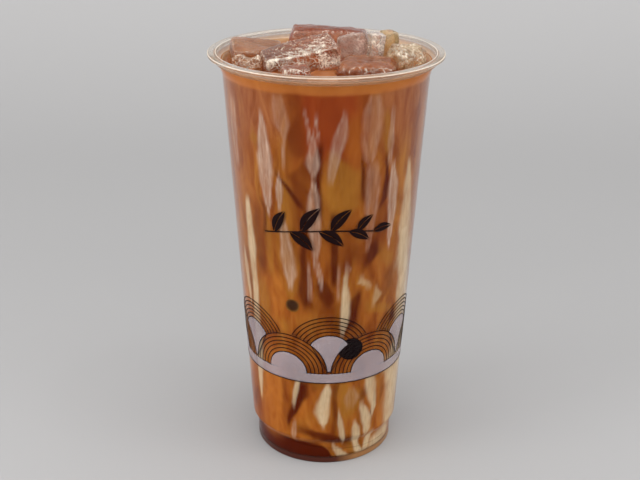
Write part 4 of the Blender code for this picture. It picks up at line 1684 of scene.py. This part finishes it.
# The camera's place in metres, and its downward tilt and roll in degrees.
CAMERA_PLACE = (-0.00219, -0.4235, 0.2672)
CAMERA_TILT, CAMERA_ROLL = 22.38, 0.265
SENSOR_WIDTH = 36.0


class MILKTEA_OT_stage(bpy.types.Operator):
    """Set the floor, the lights and the camera"""
    bl_idname = "milktea.stage"
    bl_label = "Stage"

    def execute(self, context):
        look = settings("stage_look")
        scene = context.scene
        # A floor that curves up into a backdrop.
        profile = [(FLOOR_FRONT, 0.0)]
        for step in range(SWEEP_STEPS + 1):
            turn = math.pi / 2 * step / SWEEP_STEPS
            profile.append((
                FLOOR_BACK - SWEEP + SWEEP * math.sin(turn), SWEEP - SWEEP * math.cos(turn)))
        profile.append((FLOOR_BACK, BACKDROP_TOP))
        points = [(side * FLOOR_WIDTH, y, z) for y, z in profile for side in (-1, 1)]
        faces = [(i, i + 1, i + 3, i + 2) for i in range(0, len(points) - 2, 2)]
        floor = new_object("studio_floor", mesh_from("studio_floor", points, faces))
        floor.data.shade_smooth()
        material, tree, shader = new_material("Pale studio floor")
        depth = split(tree, object_point(tree))["Y"]
        shade = add_grain(tree, 1.2, 2.0, 0.02)["Value"]
        # Painted light and shade: the floor's colour darkens from the cup back and brightens up the
        # backdrop.
        for near, far, end in FLOOR_PAINTED_LIGHT:
            shade = times(tree, shade, ramp(
                tree, depth, near, far, 1.0, end, interpolation_type="SMOOTHSTEP"))
        set_shader(
            shader, Base_Color=brighten(tree, flat_colour(tree, look.floor), shade),
            Roughness=0.7, Specular_IOR_Level=0.2)
        floor.data.materials.append(material)

        world = bpy.data.worlds.new("Even light")
        world.use_nodes = True
        sky = world.node_tree.nodes["Background"]
        sky.inputs["Color"].default_value = (*srgb(*SKY), 1.0)
        sky.inputs["Strength"].default_value = look.world
        scene.world = world

        for name, (place, size, power, share) in LAMPS.items():
            lamp = bpy.data.lights.new(name, "AREA")
            lamp.shape = "RECTANGLE"
            lamp.size, lamp.size_y = size
            lamp.energy = share * getattr(look, power)
            facing = (Vector(LAMPS_AIM) - Vector(place)).to_track_quat("-Z", "Y")
            obj = new_object(name, lamp)
            obj.matrix_world = Matrix.Translation(place) @ facing.to_matrix().to_4x4()

        camera = bpy.data.cameras.new("camera")
        camera.lens = look.lens
        camera.sensor_width = SENSOR_WIDTH
        camera.clip_start = 0.01
        obj = new_object("camera", camera)
        tilt, roll = math.radians(CAMERA_TILT), math.radians(CAMERA_ROLL)
        ahead = Vector((0.0, math.cos(tilt), -math.sin(tilt)))
        right, up = Vector((1.0, 0.0, 0.0)), Vector((0.0, math.sin(tilt), math.cos(tilt)))
        side = math.cos(roll) * right + math.sin(roll) * up
        head = -math.sin(roll) * right + math.cos(roll) * up
        turned_to = Matrix((side, head, -ahead)).transposed().to_4x4()
        obj.matrix_world = Matrix.Translation(CAMERA_PLACE) @ turned_to
        scene.camera = obj
        scene.view_settings.view_transform = "Standard"
        return {"FINISHED"}


class MILKTEA_PT_panel(bpy.types.Panel):
    """Sizes, colours and steps of the milk tea"""
    bl_idname = "MILKTEA_PT_panel"
    bl_label = "Milk Tea"
    bl_space_type = "VIEW_3D"
    bl_region_type = "UI"
    bl_category = "Milk Tea"

    def draw(self, context):
        column = self.layout.column()
        for group, kind in GROUPS:
            for name in kind.__annotations__:
                column.prop(settings(group), name)
        for operator in STEPS:
            column.operator(operator.bl_idname)


GROUPS = (
    ("cup_look", CupLook),
    ("tea_colours", TeaColours),
    ("ice_look", IceLook),
    ("print_look", PrintLook),
    ("stage_look", StageLook),
)
STEPS = (
    MILKTEA_OT_cup,
    MILKTEA_OT_pearls,
    MILKTEA_OT_ice,
    MILKTEA_OT_filling,
    MILKTEA_OT_print,
    MILKTEA_OT_stage,
)


def register():
    for name, group in GROUPS:
        bpy.utils.register_class(group)
        setattr(bpy.types.Scene, name, PointerProperty(type=group))
    for kind in (*STEPS, MILKTEA_PT_panel):
        bpy.utils.register_class(kind)


def unregister():
    for kind in (MILKTEA_PT_panel, *reversed(STEPS)):
        bpy.utils.unregister_class(kind)
    for name, group in reversed(GROUPS):
        delattr(bpy.types.Scene, name)
        bpy.utils.unregister_class(group)


def main():
    register()
    for step in STEPS:
        family, action = step.bl_idname.split(".")
        getattr(getattr(bpy.ops, family), action)()


if __name__ == "__main__":
    main()
